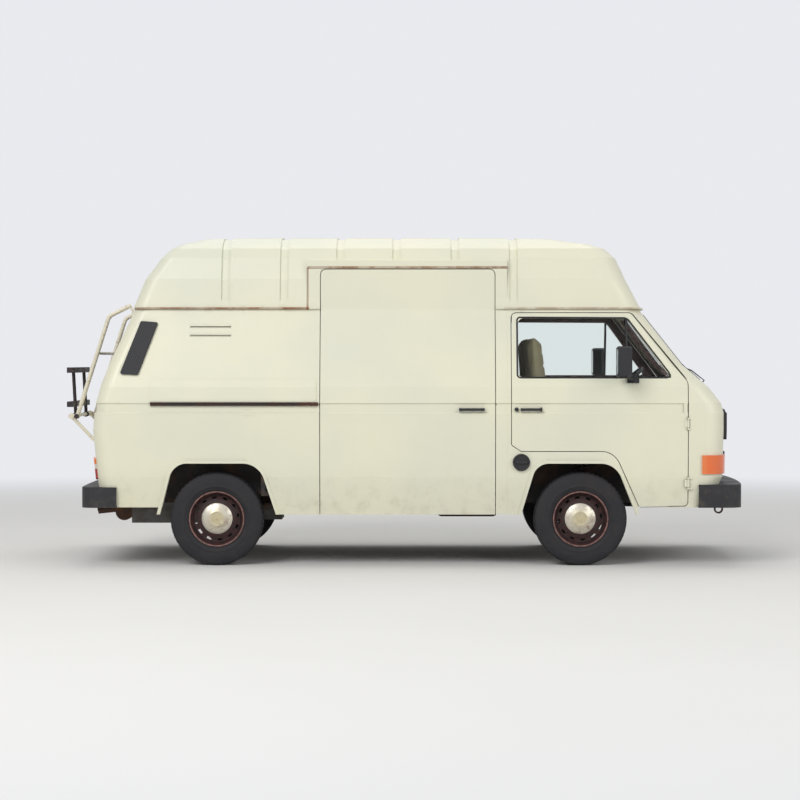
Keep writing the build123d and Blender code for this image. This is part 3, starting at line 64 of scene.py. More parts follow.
# Painted bodywork. Pressed steel panels and a moulded high roof in an old ivory paint that
# has chalked a little. Rust creeps out of the gutter and along the top of the sliding door,
# and the shut lines are dark brown, partly old dirt and partly painted shade. Inside the cab
# above the waist the paint turns mauve-brown, which is painted shade.
class Value:
    """One output of a shader node. Arithmetic on it adds the Math nodes that it needs."""

    def __init__(self, finish, socket):
        self.finish = finish
        self.socket = socket

    def maths(self, operation, first, second):
        return self.finish.node("ShaderNodeMath", {"operation": operation}, {0: first, 1: second})

    def __add__(self, other):
        return self.maths("ADD", self, other)

    def __sub__(self, other):
        return self.maths("SUBTRACT", self, other)

    def __rsub__(self, other):
        return self.maths("SUBTRACT", other, self)

    def __mul__(self, other):
        return self.maths("MULTIPLY", self, other)

    __radd__ = __add__
    __rmul__ = __mul__


class Finish:
    """A material while it is being mixed. Every node comes from node()."""

    def __init__(self, name):
        self.material = bpy.data.materials.new(name)
        self.material.use_nodes = True
        self.tree = self.material.node_tree
        self.tree.nodes.clear()
        self.place = self.node("ShaderNodeTexCoord", {}, {}, "Object")
        self.facing = self.node("ShaderNodeTexCoord", {}, {}, "Normal")
        self.x, self.y, self.z = (
            self.node("ShaderNodeSeparateXYZ", {}, {0: self.place}, axis) for axis in "XYZ"
        )

    def node(self, kind, settings, inputs, output=0):
        made = self.tree.nodes.new(kind)
        for key, value in settings.items():
            setattr(made, key, value)
        for key, value in inputs.items():
            if isinstance(value, Value):
                self.tree.links.new(value.socket, made.inputs[key])
            else:
                made.inputs[key].default_value = value
        return Value(self, made.outputs[output]) if made.outputs else made

    def noise(self, scale, detail=3.0, roughness=0.5, stretch=(1, 1, 1)):
        spread = self.node("ShaderNodeMapping", {}, {"Vector": self.place, "Scale": stretch})
        inputs = {"Vector": spread, "Scale": scale, "Detail": detail, "Roughness": roughness}
        return self.node("ShaderNodeTexNoise", {}, inputs)

    def step(self, value, low, high):
        """0 below low, 1 above high and smooth in between; turned round if low is the larger."""
        inputs = {"Value": value, "From Min": low, "From Max": high}
        return self.node("ShaderNodeMapRange", {"interpolation_type": "SMOOTHSTEP"}, inputs)

    def band(self, value, low, high, soft):
        """1 from low to high, falling away over soft on both sides."""
        return self.step(value, low - soft, low) * self.step(value, high + soft, high)

    def zigzag(self, value, height):
        """Climbs from 0 to height and falls to 0 again, over and over."""
        return self.node("ShaderNodeMath", {"operation": "PINGPONG"}, {0: value, 1: height})

    def radius(self, across, up):
        return self.node("ShaderNodeMath", {"operation": "SQRT"}, {0: across * across + up * up})

    def mix(self, mask, under, over):
        return self.node("ShaderNodeMix", {"data_type": "RGBA"}, {0: mask, 6: under, 7: over}, 2)

    def bump(self, height, strength, distance):
        return self.node("ShaderNodeBump", {}, {"Height": height, "Strength": strength, "Distance": distance})

    def done(self, **inputs):
        named = {key.replace("_", " "): value for key, value in inputs.items()}
        shader = self.node("ShaderNodeBsdfPrincipled", {}, named)
        self.node("ShaderNodeOutputMaterial", {}, {"Surface": shader})
        return self.material


def srgb(red, green, blue):
    """A colour given as it looks on a screen, from 0 to 255, as the shader wants it."""
    parts = (channel / 255 for channel in (red, green, blue))
    return (*(p / 12.92 if p <= 0.04045 else ((p + 0.055) / 1.055) ** 2.4 for p in parts), 1)


def dress(material, *names):
    """Give CAD nodes their finish."""
    for name in names:
        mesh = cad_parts[name].data
        mesh.materials.clear()
        mesh.materials.append(material)


IVORY = srgb(228, 225, 199)
IVORY_CHALKED = srgb(219, 219, 199)
ROAD_DIRT = srgb(158, 144, 112)
RUST = srgb(133, 84, 46)
SHUT_LINE_DIRT_AND_SHADE = srgb(70, 54, 42)
CAB_INSIDE_SHADE = srgb(112, 86, 82)
GUTTER_Z = (1.735, 1.745)
DRIP_Z = (2.010, 2.024)
FRAME_Z = (1.75, 2.01)
GUTTER_REAR_X = -1.82
DOORWAY_X = (-0.645, 0.705)
CAB_GUTTER_END_X = 1.60


def body_paint():
    paint = Finish("ivory_paint")
    chalk = paint.noise(1.3, 4)
    grime = paint.noise(11, 6, 0.65)
    colour = paint.mix(paint.step(chalk, 0.3, 0.7), IVORY, IVORY_CHALKED)

    # Rain washes road dirt down to the sills
    low = paint.step(paint.z, 0.75, 0.36)
    colour = paint.mix(low * (0.12 + paint.step(grime, 0.45, 0.75) * 0.22), colour, ROAD_DIRT)

    # Rust follows the gutter, the drip rail and the rear corner of the raised door frame
    outside = paint.step(paint.y * paint.y, 0.50, 0.56)
    right_side = outside * paint.step(paint.y, 0.1, -0.1)
    behind_door = paint.band(paint.x, GUTTER_REAR_X, DOORWAY_X[0] + 0.004, 0.01)
    before_door = paint.band(paint.x, DOORWAY_X[1] - 0.01, CAB_GUTTER_END_X, 0.02)
    over_door = paint.band(paint.x, *DOORWAY_X, 0.01)
    patchy = paint.step(paint.noise(7, 5, 0.7), 0.40, 0.62)
    gutter = paint.band(paint.z, *GUTTER_Z, 0.004) * outside
    soft_gutter = paint.band(paint.z, *GUTTER_Z, 0.030) * outside * paint.step(grime, 0.5, 0.7)
    corner = paint.band(paint.x, DOORWAY_X[0] - 0.006, DOORWAY_X[0] + 0.002, 0.006)
    corner = corner * paint.band(paint.z, GUTTER_Z[0], DRIP_Z[0], 0.01) * right_side
    drip = paint.band(paint.z, *DRIP_Z, 0.003) * over_door * right_side
    weep = paint.band(paint.x, DOORWAY_X[1], DOORWAY_X[1] + 0.10, 0.05) * soft_gutter
    rusty = gutter * behind_door * (0.55 + patchy * 0.35) + soft_gutter * behind_door * 0.25
    rusty = rusty + gutter * before_door * (0.25 + patchy * 0.35) + weep * 0.5
    rusty = rusty + drip * (0.45 + patchy * 0.4) + corner * 0.6
    arch_spot = paint.band(paint.x, -1.045, -1.02, 0.02) * paint.band(paint.z, 0.60, 0.62, 0.02)
    rusty = rusty + arch_spot * right_side * patchy
    colour = paint.mix(rusty, colour, RUST)

    # Faces that turn along X or up and down, on the sides below the gutter and round the raised door frame,
    # are dark brown: old dirt in the shut lines, and painted shade on the arch lips, sill undersides and
    # swage ledges
    normal_x, normal_y, normal_z = (
        paint.node("ShaderNodeSeparateXYZ", {}, {0: paint.facing}, axis) for axis in "XYZ"
    )
    edge = paint.step(normal_x * normal_x, 0.96, 0.99) + paint.step(normal_z * normal_z, 0.96, 0.99)
    below_gutter = outside * paint.step(paint.z, GUTTER_Z[0], GUTTER_Z[0] - 0.01)
    raised_frame = right_side * over_door * paint.band(paint.z, *FRAME_Z, 0.01)
    edge = edge * paint.band(paint.x, -1.78, 1.93, 0.01) * (below_gutter + raised_frame)
    colour = paint.mix(edge * 0.85, colour, SHUT_LINE_DIRT_AND_SHADE)

    # Inside the cab above the waist, faces that point inward are painted mauve-brown: painted shade for the
    # shaded inner face of the far door frame, not a vinyl lining
    shaded_inside = paint.step(normal_y * paint.y, -0.15, -0.3) * paint.step(paint.x, 0.70, 0.74)
    colour = paint.mix(shaded_inside * paint.step(paint.z, 1.24, 1.26), colour, CAB_INSIDE_SHADE)

    gloss = 0.36 + chalk * 0.12 + low * 0.12 + rusty * 0.3
    normal = paint.bump(paint.noise(2.2, 1) + rusty * grime * 0.02, 0.22, 0.02)
    return paint.done(Base_Color=colour, Roughness=gloss, Normal=normal, Coat_Weight=0.2, Coat_Roughness=0.25)


ivory = body_paint()
dress(
    ivory,
    "cab_frame", "side_panel_right", "side_panel_left", "rear_panel", "high_roof",
    "sliding_door", "cab_door_right", "cab_door_left", "tailgate",
)


# Windows. Toughened glass with a faint green tint, held by black rubber strips that lie round
# each opening, and a black bar in front of the cab door's drop window.
def window_glass():
    glass = Finish("window_glass")
    dust = glass.step(glass.noise(18, 5, 0.6), 0.45, 0.85)
    return glass.done(
        Base_Color=(0.93, 0.97, 0.95, 1), Roughness=0.01 + dust * 0.05,
        Transmission_Weight=1.0, IOR=1.2,
    )


dress(window_glass(), "windscreen", "door_glass_right", "door_glass_left", "tailgate_glass")


def black_moulding(name, dark, pale, grain_scale=260):
    """A grained black plastic or rubber that has greyed in the sun."""
    plastic = Finish(name)
    faded = plastic.step(plastic.noise(5, 5, 0.6), 0.35, 0.75)
    grain = plastic.noise(grain_scale, 2)
    dusty = plastic.step(plastic.z, 0.7, 0.3) * plastic.step(plastic.noise(22, 5), 0.45, 0.8)
    colour = plastic.mix(faded * 0.6, dark, pale)
    colour = plastic.mix(dusty * 0.14, colour, ROAD_DIRT)
    normal = plastic.bump(grain, 0.35, 0.001)
    return plastic.done(Base_Color=colour, Roughness=0.5 + faded * 0.2, Normal=normal)


SIDES = ((-1, "right"), (1, "left"))
CLEAR_OF_NOSE = 2.6
CLEAR_OF_SIDE = 1.3
panel_trees = {}


def on_panel(node, start, direction):
    """Where a line from start first meets a CAD panel, and which way the panel faces there."""
    if node not in panel_trees:
        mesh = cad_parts[node].data
        corners = [vertex.co for vertex in mesh.vertices]
        panel_trees[node] = BVHTree.FromPolygons(corners, [face.vertices for face in mesh.polygons])
    place, facing, _, _ = panel_trees[node].ray_cast(Vector(start), Vector(direction))
    if place and facing.dot(Vector(direction)) > 0:
        facing = -facing
    return place, facing


def from_front(node, y, z):
    return on_panel(node, (CLEAR_OF_NOSE, y, z), (-1, 0, 0))


def from_behind(node, y, z):
    return on_panel(node, (-CLEAR_OF_NOSE, y, z), (1, 0, 0))


def from_beside(node, side, x, z):
    return on_panel(node, (x, side * CLEAR_OF_SIDE, z), (0, -side, 0))


def fit(piece, body, slot, *replaced):
    """Let a piece ride on its body and stand for CAD nodes. The slot is not used."""
    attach(piece, body)
    if replaced:
        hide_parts(*replaced)


def tube(name, points, radius, material, closed=False):
    """A round strip, rod or pipe along a line of points."""
    curve = bpy.data.curves.new(name, "CURVE")
    curve.dimensions = "3D"
    curve.bevel_depth = radius
    curve.bevel_resolution = 2
    curve.use_fill_caps = True
    line = curve.splines.new("POLY")
    line.points.add(len(points) - 1)
    for knot, point in zip(line.points, points):
        knot.co = (*point, 1)
    line.use_cyclic_u = closed
    curve.materials.append(material)
    piece = bpy.data.objects.new(name, curve)
    bpy.context.scene.collection.objects.link(piece)
    return piece


def rounded_face(corners, radius, segments):
    """A polygon with rounded corners, drawn in X and Z."""
    bm = bmesh.new()
    bm.faces.new([bm.verts.new((across, 0, up)) for across, up in corners])
    bmesh.ops.bevel(
        bm, geom=bm.verts[:], offset=radius, affect="VERTICES", segments=segments, profile=0.5, material=-1
    )
    return bm


def rounded_outline(corners, radius, cuts=7):
    """Points round a polygon with rounded corners."""
    bm = rounded_face(corners, radius, 5)
    bmesh.ops.subdivide_edges(bm, edges=bm.edges[:], cuts=cuts)
    loop = [corner.vert.co.copy() for corner in max(bm.faces, key=lambda face: len(face.verts)).loops]
    bm.free()
    return loop


# Corners of each opening, and the radius of its corners. The rubber lies just outside.
RUBBER_RADIUS = 0.007
RUBBER_SUNK = 0.003
CAB_WINDOW = ((0.771, 1.270), (1.800, 1.270), (1.800, 1.294), (1.515, 1.674), (0.771, 1.678))
WINDSCREEN = ((-0.752, 1.256), (0.752, 1.256), (0.662, 1.694), (-0.662, 1.694))
REAR_WINDOW = ((-0.616, 1.184), (0.616, 1.184), (0.586, 1.646), (-0.586, 1.646))
CAB_WINDOW_CORNER, WINDSCREEN_CORNER, REAR_WINDOW_CORNER = 0.022, 0.055, 0.050
QUARTER_BAR_X = 1.510
QUARTER_BAR_HEIGHTS = (1.282, 1.38, 1.48, 1.58, 1.664)
QUARTER_BAR_RADIUS = 0.0085

rubber_strip = black_moulding("rubber_strip", srgb(20, 20, 22), srgb(40, 39, 40), 400)


def rubber_round(name, outline, touch, body):
    """A rubber strip round a window. touch gives the place on the panel for a point."""
    points = []
    for point in outline:
        place, facing = touch(point)
        points.append(place - facing * RUBBER_SUNK)
    fit(tube(name, points, RUBBER_RADIUS, rubber_strip, closed=True), body, "black_plastic")


for side, word in SIDES:
    rubber_round(
        f"window_rubber_{word}", rounded_outline(CAB_WINDOW, CAB_WINDOW_CORNER),
        lambda point: from_beside(f"cab_door_{word}", side, point.x, point.z), f"door_{word}_body",
    )
    bar = [from_beside(f"cab_door_{word}", side, QUARTER_BAR_X, z)[0] for z in QUARTER_BAR_HEIGHTS]
    bar = tube(f"quarter_light_bar_{word}", bar, QUARTER_BAR_RADIUS, rubber_strip)
    fit(bar, f"door_{word}_body", "black_plastic")
rubber_round(
    "windscreen_rubber", rounded_outline(WINDSCREEN, WINDSCREEN_CORNER, 11),
    lambda point: from_front("cab_frame", point.x, point.z), "root",
)
rubber_round(
    "rear_window_rubber", rounded_outline(REAR_WINDOW, REAR_WINDOW_CORNER),
    lambda point: from_behind("tailgate", point.x, point.z), "tailgate_body",
)


# Door seals. A dark rubber bead lies in each shut line of the cab doors and the sliding door.
SEAL_RADIUS = 0.0030
SEAL_DEPTH = 0.007
CAB_SEAL = (
    (0.7305, 0.813), (0.796, 0.7445), (1.418, 0.7445), (1.590, 0.4150), (1.9245, 0.4230),
    (1.9245, 1.243), (1.546, 1.7095), (0.7305, 1.7095),
)
SLIDING_SEAL = ((-0.5655, 0.400), (0.6285, 0.400), (0.6285, 2.0105), (-0.5655, 2.0105))
SEAL_CORNER = 0.022

# Half the width of the van's sides at a row of heights
SIDE_WIDTHS = (
    (0.250, 0.885), (0.600, 0.918), (0.914, 0.922), (1.030, 0.922), (1.040, 0.912), (1.090, 0.911),
    (1.100, 0.920), (1.206, 0.908), (1.357, 0.877), (1.735, 0.800), (2.065, 0.782),
)


def half_width(height):
    """Half the van's width at a height, on the straight line between two rows."""
    for (low, below), (high, above) in zip(SIDE_WIDTHS, SIDE_WIDTHS[1:]):
        if height <= high:
            return below + (above - below) * (height - low) / (high - low)


def seal(name, corners, cuts, side):
    points = [
        (point.x, side * (half_width(point.z) - SEAL_DEPTH), point.z)
        for point in rounded_outline(corners, SEAL_CORNER, cuts)
    ]
    fit(tube(name, points, SEAL_RADIUS, rubber_strip, closed=True), "root", "black_plastic")


seal("door_seal_right", CAB_SEAL, 9, -1)
seal("door_seal_left", CAB_SEAL, 9, 1)
seal("sliding_door_seal", SLIDING_SEAL, 31, -1)


# Wipers. Two black steel arms on spindles below the windscreen, each with a rubber blade that
# is parked low on the glass.
WIPER_SPINDLES_Y = (-0.44, 0.16)
WIPER_SPINDLE_Z = 1.232
WIPER_SPINDLE_LENGTH = 0.022
WIPER_REACH_Y = 0.40
WIPER_PARKED_Z = 1.290
WIPER_RISE = 0.045
WIPER_ARM_HEIGHT = 0.030
WIPER_ARM_FALL = 0.016
WIPER_ARM_REACH = 0.6
BLADE_HEIGHT = 0.007
WIPER_STEPS = 8

for number, spindle_y in enumerate(WIPER_SPINDLES_Y, 1):
    foot, facing = from_front("cab_frame", spindle_y, WIPER_SPINDLE_Z)
    arm, blade = [foot, foot + facing * WIPER_SPINDLE_LENGTH], []
    for index in range(1, WIPER_STEPS + 1):
        share = index / WIPER_STEPS
        y, z = spindle_y + WIPER_REACH_Y * share, WIPER_PARKED_Z + WIPER_RISE * share
        place, facing = from_front("windscreen", y, z)
        blade.append(place + facing * BLADE_HEIGHT)
        if share <= WIPER_ARM_REACH:
            arm.append(place + facing * (WIPER_ARM_HEIGHT - WIPER_ARM_FALL * share))
    fit(tube(f"wiper_arm_{number}", arm, 0.0045, rubber_strip), "root", "black_plastic")
    fit(tube(f"wiper_blade_{number}", blade, 0.0052, rubber_strip), "root", "black_plastic")


# Black mouldings. The bumpers, grilles, mirrors, handles and filler cap are a grained black
# plastic, and the air intakes have upright fins, drawn as a bump with painted shade in the hollows between
# them. The sliding door's rail cover has rusted.
black_plastic = black_moulding("black_plastic", srgb(24, 24, 28), srgb(44, 43, 46))
dress(
    black_plastic,
    "bumpers", "grilles", "mirror_right", "mirror_left", "fuel_cap",
    "door_handle_right", "door_handle_left", "sliding_door_handle",
)


def finned_moulding():
    plastic = Finish("finned_plastic")
    fins = plastic.zigzag(plastic.x - plastic.z * 0.34, 0.007)
    # The hollows between the fins are painted near black: painted shade, since the fins are only a bump on a
    # flat face
    hollow = plastic.step(fins, 0.0045, 0.0025)
    colour = plastic.mix(hollow, srgb(34, 34, 37), srgb(8, 8, 10))
    return plastic.done(Base_Color=colour, Roughness=0.6, Normal=plastic.bump(hollow, -0.8, 0.004))


def rusty_rail():
    rail = Finish("rusty_rail")
    worn = rail.step(rail.noise(14, 5, 0.65), 0.40, 0.70)
    near_door = rail.step(rail.x, -0.75, -0.62)
    colour = rail.mix(worn * 0.35 + near_door * 0.45, srgb(34, 27, 24), srgb(104, 58, 44))
    return rail.done(Base_Color=colour, Roughness=0.55 + worn * 0.25, Normal=rail.bump(worn, 0.3, 0.001))


rail_cover = rusty_rail()
dress(finned_moulding(), "air_intakes")
dress(rail_cover, "sliding_door_rail")


# Filler cap. A screw-on cap in black plastic with a raised rim and a grip bar across it.
def finished(bm, name, material, smooth_angle=35):
    """Turn a bmesh into an object with its place in its mesh."""
    mesh = bpy.data.meshes.new(name)
    bm.to_mesh(mesh)
    bm.free()
    mesh.materials.append(material)
    piece = bpy.data.objects.new(name, mesh)
    bpy.context.scene.collection.objects.link(piece)
    mesh.shade_smooth()
    mesh.set_sharp_from_angle(angle=math.radians(smooth_angle))
    return piece


def faces_out(bm):
    bmesh.ops.recalc_face_normals(bm, faces=bm.faces)


def spun(points, steps, closed=False):
    """A surface of revolution about Y from points of radius and distance along Y."""
    bm = bmesh.new()
    ring = [bm.verts.new((0, along, radius)) for radius, along in points]
    edges = [bm.edges.new(pair) for pair in zip(ring, ring[1:])]
    if closed:
        edges.append(bm.edges.new((ring[-1], ring[0])))
    bmesh.ops.spin(
        bm, geom=ring + edges, cent=(0, 0, 0), axis=(0, 1, 0), dvec=(0, 0, 0),
        angle=2 * math.pi, steps=steps, use_merge=True,
    )
    bmesh.ops.remove_doubles(bm, verts=bm.verts, dist=1e-6)
    faces_out(bm)
    return bm


def moved(bm, by):
    bmesh.ops.translate(bm, verts=bm.verts, vec=by)
    return bm


def stood_on(bm, place, facing):
    """Turn a shape that was drawn along Y to stand on a panel."""
    turn = Vector((0, 1, 0)).rotation_difference(facing).to_matrix().to_4x4()
    bmesh.ops.transform(bm, matrix=Matrix.Translation(place) @ turn, verts=bm.verts)
    return bm


def rounded_block(size, edge, segments=2):
    """A block round the origin with rounded edges."""
    bm = bmesh.new()
    bmesh.ops.create_cube(bm, size=1)
    bmesh.ops.scale(bm, verts=bm.verts, vec=size)
    bmesh.ops.bevel(
        bm, geom=bm.edges[:], offset=edge, affect="EDGES", segments=segments, profile=0.5, material=-1
    )
    return bm


def joined(*shapes):
    """Put several bmeshes into the first."""
    first = shapes[0]
    for other in shapes[1:]:
        mesh = bpy.data.meshes.new("joined")
        other.to_mesh(mesh)
        other.free()
        first.from_mesh(mesh)
        bpy.data.meshes.remove(mesh)
    return first


FILLER_X, FILLER_Z = 0.797, 0.700
FILLER_RIM = ((0.0570, 0.0), (0.0565, 0.004), (0.0520, 0.006), (0.0480, 0.004), (0.0470, 0.0))
grip = moved(rounded_block((0.078, 0.016, 0.020), 0.005), (0, 0.004, 0))
cap_detail = joined(spun(FILLER_RIM, 64), grip)
stood_on(cap_detail, *from_beside("fuel_cap", -1, FILLER_X, FILLER_Z))
fit(finished(cap_detail, "filler_cap_grip", black_plastic), "root", "black_plastic")


# Sliding door carriage. The steel arm with its roller, at the front end of the rail cover.
CARRIAGE_X, CARRIAGE_Z = -0.600, 1.092
ROLLER = ((0.0, -0.004), (0.0085, -0.004), (0.0085, 0.008), (0.0065, 0.010), (0.0, 0.010))
roller = moved(spun(ROLLER, 32), (-0.010, 0, 0))
carriage = joined(rounded_block((0.040, 0.008, 0.020), 0.002), roller)
stood_on(carriage, *from_beside("sliding_door_rail", -1, CARRIAGE_X, CARRIAGE_Z))
fit(finished(carriage, "door_carriage", rail_cover), "root", "rusty_steel")


# Headlamps. Round glass units in bright rings: a deep reflector behind a fluted lens.
HEADLAMP_Y, HEADLAMP_Z = 0.640, 0.952


def bright_metal(name, colour, spot_colour, spot_amount):
    metal = Finish(name)
    spots = metal.step(metal.noise(70, 6, 0.72), 0.58, 0.68)
    haze = metal.noise(9, 4)
    shade = metal.mix(spots * spot_amount, colour, spot_colour)
    return metal.done(
        Base_Color=shade, Metallic=1.0 - spots * spot_amount, Roughness=0.22 + haze * 0.2 + spots * 0.4,
        Normal=metal.bump(spots, 0.4, 0.0004),
    )


def fluted_glass():
    glass = Finish("fluted_glass")
    flutes = glass.zigzag(glass.y, 0.005)
    return glass.done(
        Base_Color=(0.95, 0.97, 0.97, 1), Roughness=0.03, Transmission_Weight=1.0, IOR=1.35,
        Normal=glass.bump(flutes, 0.8, 0.003),
    )


lamp_chrome = bright_metal("lamp_chrome", srgb(206, 206, 202), srgb(120, 92, 66), 0.3)
lamp_glass = fluted_glass()
RING = (
    (0.0865, 0.0005), (0.0865, 0.0170), (0.0830, 0.0195), (0.0775, 0.0180), (0.0760, 0.0120),
    (0.0760, 0.0005),
)
BOWL = ((0.0762, 0.0110), (0.0600, 0.0050), (0.0300, 0.0015), (0.0, 0.0010))
LENS = ((0.0760, 0.0125), (0.0550, 0.0155), (0.0280, 0.0172), (0.0, 0.0178))
for side, word in SIDES:
    place, facing = from_front("cab_frame", side * HEADLAMP_Y, HEADLAMP_Z)
    lens_shape = spun(LENS, 64)
    bmesh.ops.solidify(lens_shape, geom=lens_shape.faces[:], thickness=0.0015)
    for part, shape, material in (
        ("ring", spun(RING, 64, closed=True), lamp_chrome),
        ("reflector", spun(BOWL, 64), lamp_chrome),
        ("lens", lens_shape, lamp_glass),
    ):
        piece = finished(stood_on(shape, place, facing), f"headlamp_{part}_{word}", material)
        fit(piece, "root", "lamp_glass", "headlamps")


# Coloured lamps. Ribbed plastic lenses: orange indicators round the front corners, and tail
# lamps in three bands of orange, clear and red beside the tailgate.
def lens(name, colour_at):
    plastic = Finish(name)
    ribs = plastic.zigzag(plastic.z, 0.004)
    worn = plastic.step(plastic.noise(40, 4), 0.5, 0.8)
    colour = plastic.mix(worn * 0.15, colour_at(plastic), ROAD_DIRT)
    return plastic.done(
        Base_Color=colour, Roughness=0.14 + worn * 0.2, Normal=plastic.bump(ribs, 0.5, 0.002),
        Coat_Weight=0.8, Coat_Roughness=0.05,
    )


def indicator_colour(plastic):
    pale_end = plastic.step(plastic.x, 2.06, 2.02)
    return plastic.mix(pale_end * 0.25, srgb(226, 104, 34), srgb(238, 160, 96))


def tail_colour(plastic):
    clear = plastic.mix(plastic.step(plastic.z, 0.652, 0.654), srgb(158, 20, 20), srgb(206, 198, 190))
    return plastic.mix(plastic.step(plastic.z, 0.684, 0.686), clear, srgb(220, 112, 30))


dress(lens("orange_lens", indicator_colour), "front_indicators")
dress(lens("tail_lens", tail_colour), "tail_lamps")


# Number plates. Blank pressed aluminium plates with a raised border: the front one is screwed
# to the lower grille, the rear one to the panel below the tailgate.
PLATE_SIZE = (0.520, 0.110)
PLATE_THICKNESS = 0.002
PLATE_EDGE = 0.006
PLATE_LIFT = 0.004
PLATE_BOLTS = {"along": 0.19, "up": 0.030}
BOLT = ((0.0, 0.003), (0.004, 0.003), (0.0055, 0.0015), (0.0055, -0.006), (0.0, -0.006))
# The plate leans as the panel does between the lowest and the highest of these places on it
PLATE_ROWS = [0.620 + 0.004 * step for step in range(33)]


def plate_finish():
    metal = Finish("plate_white")
    grime = metal.step(metal.noise(12, 5), 0.45, 0.8)
    return metal.done(Base_Color=metal.mix(grime * 0.3, srgb(216, 214, 204), ROAD_DIRT), Roughness=0.4)


plate_white = plate_finish()
for word, node, touch, direction in (
    ("front", "grilles", from_front, -1), ("rear", "rear_panel", from_behind, 1),
):
    touched = [place for place, _ in (touch(node, 0, z) for z in PLATE_ROWS) if place]
    low, high = touched[0], touched[-1]
    facing = Vector((-direction * (high.z - low.z), 0, direction * (high.x - low.x))).normalized()
    plate = rounded_block((PLATE_SIZE[0], PLATE_THICKNESS, PLATE_SIZE[1]), 0.0006, 1)
    front = [face for face in plate.faces if face.normal.y > 0.99 and face.calc_area() > 0.01]
    for thickness, depth in ((PLATE_EDGE, 0), (0.0015, -0.001)):
        bmesh.ops.inset_region(plate, faces=front, thickness=thickness, depth=depth, use_even_offset=True)
    bolts = (
        moved(spun(BOLT, 20), (side * PLATE_BOLTS["along"], 0, PLATE_BOLTS["up"])) for side, _ in SIDES
    )
    shape = joined(plate, *bolts)
    stood_on(shape, (low + high) / 2 + facing * PLATE_LIFT, facing)
    fit(finished(shape, f"number_plate_{word}", plate_white), "root", "body_paint")


# Tailgate furniture. A black pull handle with its lock in the middle of the lower edge.
GATE_HANDLE_Z = 0.815
GATE_LOCK = ((0.0, 0.024), (0.009, 0.024), (0.0105, 0.0225), (0.0105, 0.010), (0.0, 0.010))
handle = moved(rounded_block((0.150, 0.020, 0.032), 0.006), (0, 0.009, 0))
handle = stood_on(joined(handle, spun(GATE_LOCK, 32)), *from_behind("tailgate", 0, GATE_HANDLE_Z))
fit(finished(handle, "tailgate_handle", black_plastic), "tailgate_body", "black_plastic")


# Mirror glass. A flat silvered pane in the recess at the back of each door mirror.
MIRROR_HEAD_Y = (0.962, 1.100)
MIRROR_HEAD_HEIGHT = 0.208
PANE_THICKNESS = 0.002
PANE_SIDE_MARGIN = 0.010
PANE_END_MARGIN = 0.021
PANE_PLACE_X = 0.0032
mirror_silver = bright_metal("mirror_silver", srgb(214, 218, 220), srgb(150, 150, 150), 0.1)
for side, word in SIDES:
    low, high = (Vector(corner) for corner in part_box(f"mirror_{word}"))
    inner, outer = MIRROR_HEAD_Y
    pane_width = outer - inner - 2 * PANE_SIDE_MARGIN
    pane_height = MIRROR_HEAD_HEIGHT - 2 * PANE_END_MARGIN
    pane = rounded_block((PANE_THICKNESS, pane_width, pane_height), 0.0006, 1)
    middle = (low.x + PANE_PLACE_X, side * (inner + outer) / 2, high.z - MIRROR_HEAD_HEIGHT / 2)
    moved(pane, middle)
    fit(finished(pane, f"mirror_glass_{word}", mirror_silver), f"door_{word}_body", "clear_glass")


# Carrier on the tailgate. Bent steel tube in cream enamel that is chipped to rust in spots, with
# a fold-down platform of black bars and a round clamp knob on each upright.
def enamel():
    tube_paint = Finish("cream_enamel")
    chips = tube_paint.step(tube_paint.noise(30, 6, 0.7), 0.58, 0.68)
    colour = tube_paint.mix(chips * 0.8, srgb(230, 222, 200), RUST)
    relief = tube_paint.bump(chips, -0.3, 0.0006)
    return tube_paint.done(Base_Color=colour, Roughness=0.35 + chips * 0.4, Normal=relief)


cream_enamel = enamel()
carrier_black = black_moulding("carrier_black", srgb(34, 26, 28), srgb(66, 50, 50), 300)
dress(cream_enamel, "rack_frame")
dress(carrier_black, "rack_platform")
CLAMP_KNOB = (
    (0.0, 0.024), (0.014, 0.024), (0.017, 0.021), (0.017, 0.010), (0.009, 0.006), (0.009, 0.0), (0.0, 0.0),
)
CARRIER_FOOT = {"x": -2.263, "y": 0.467, "z": 0.999}
for side, word in SIDES:
    knob = spun(CLAMP_KNOB, 32)
    place = Vector((CARRIER_FOOT["x"], side * CARRIER_FOOT["y"], CARRIER_FOOT["z"]))
    stood_on(knob, place, Vector((0, side, 0)))
    fit(finished(knob, f"carrier_knob_{word}", carrier_black), "tailgate_body", "black_plastic")


# Underside. Floor, axles, tank and brackets are black chassis paint or bare castings, all of
# it dull with dust, old oil and surface rust. The radiator has fine upright fins.
def underbody(name, base, dust_amount, rust_amount, metal):
    steel = Finish(name)
    patches = steel.step(steel.noise(7, 6, 0.65), 0.42, 0.68)
    dust = steel.step(steel.noise(16, 5, 0.6), 0.38, 0.72)
    colour = steel.mix(patches * rust_amount, base, RUST)
    colour = steel.mix(dust * dust_amount, colour, srgb(112, 102, 88))
    normal = steel.bump(steel.noise(60, 5) + patches * 0.5, 0.5, 0.002)
    return steel.done(Base_Color=colour, Roughness=0.62 + dust * 0.25, Metallic=metal, Normal=normal)


def finned_alloy():
    alloy = Finish("radiator_core")
    fins = alloy.zigzag(alloy.y, 0.003)
    rows = alloy.zigzag(alloy.z, 0.006)
    tubes = alloy.step(rows, 0.0045, 0.0055)
    dust = alloy.step(alloy.noise(16, 5), 0.4, 0.7)
    colour = alloy.mix(tubes, srgb(46, 47, 49), srgb(96, 97, 98))
    colour = alloy.mix(dust * 0.3, colour, ROAD_DIRT)
    return alloy.done(
        Base_Color=colour, Roughness=0.55 + dust * 0.3, Metallic=0.5 - dust * 0.4,
        Normal=alloy.bump(fins * 80 + tubes, 0.7, 0.002),
    )


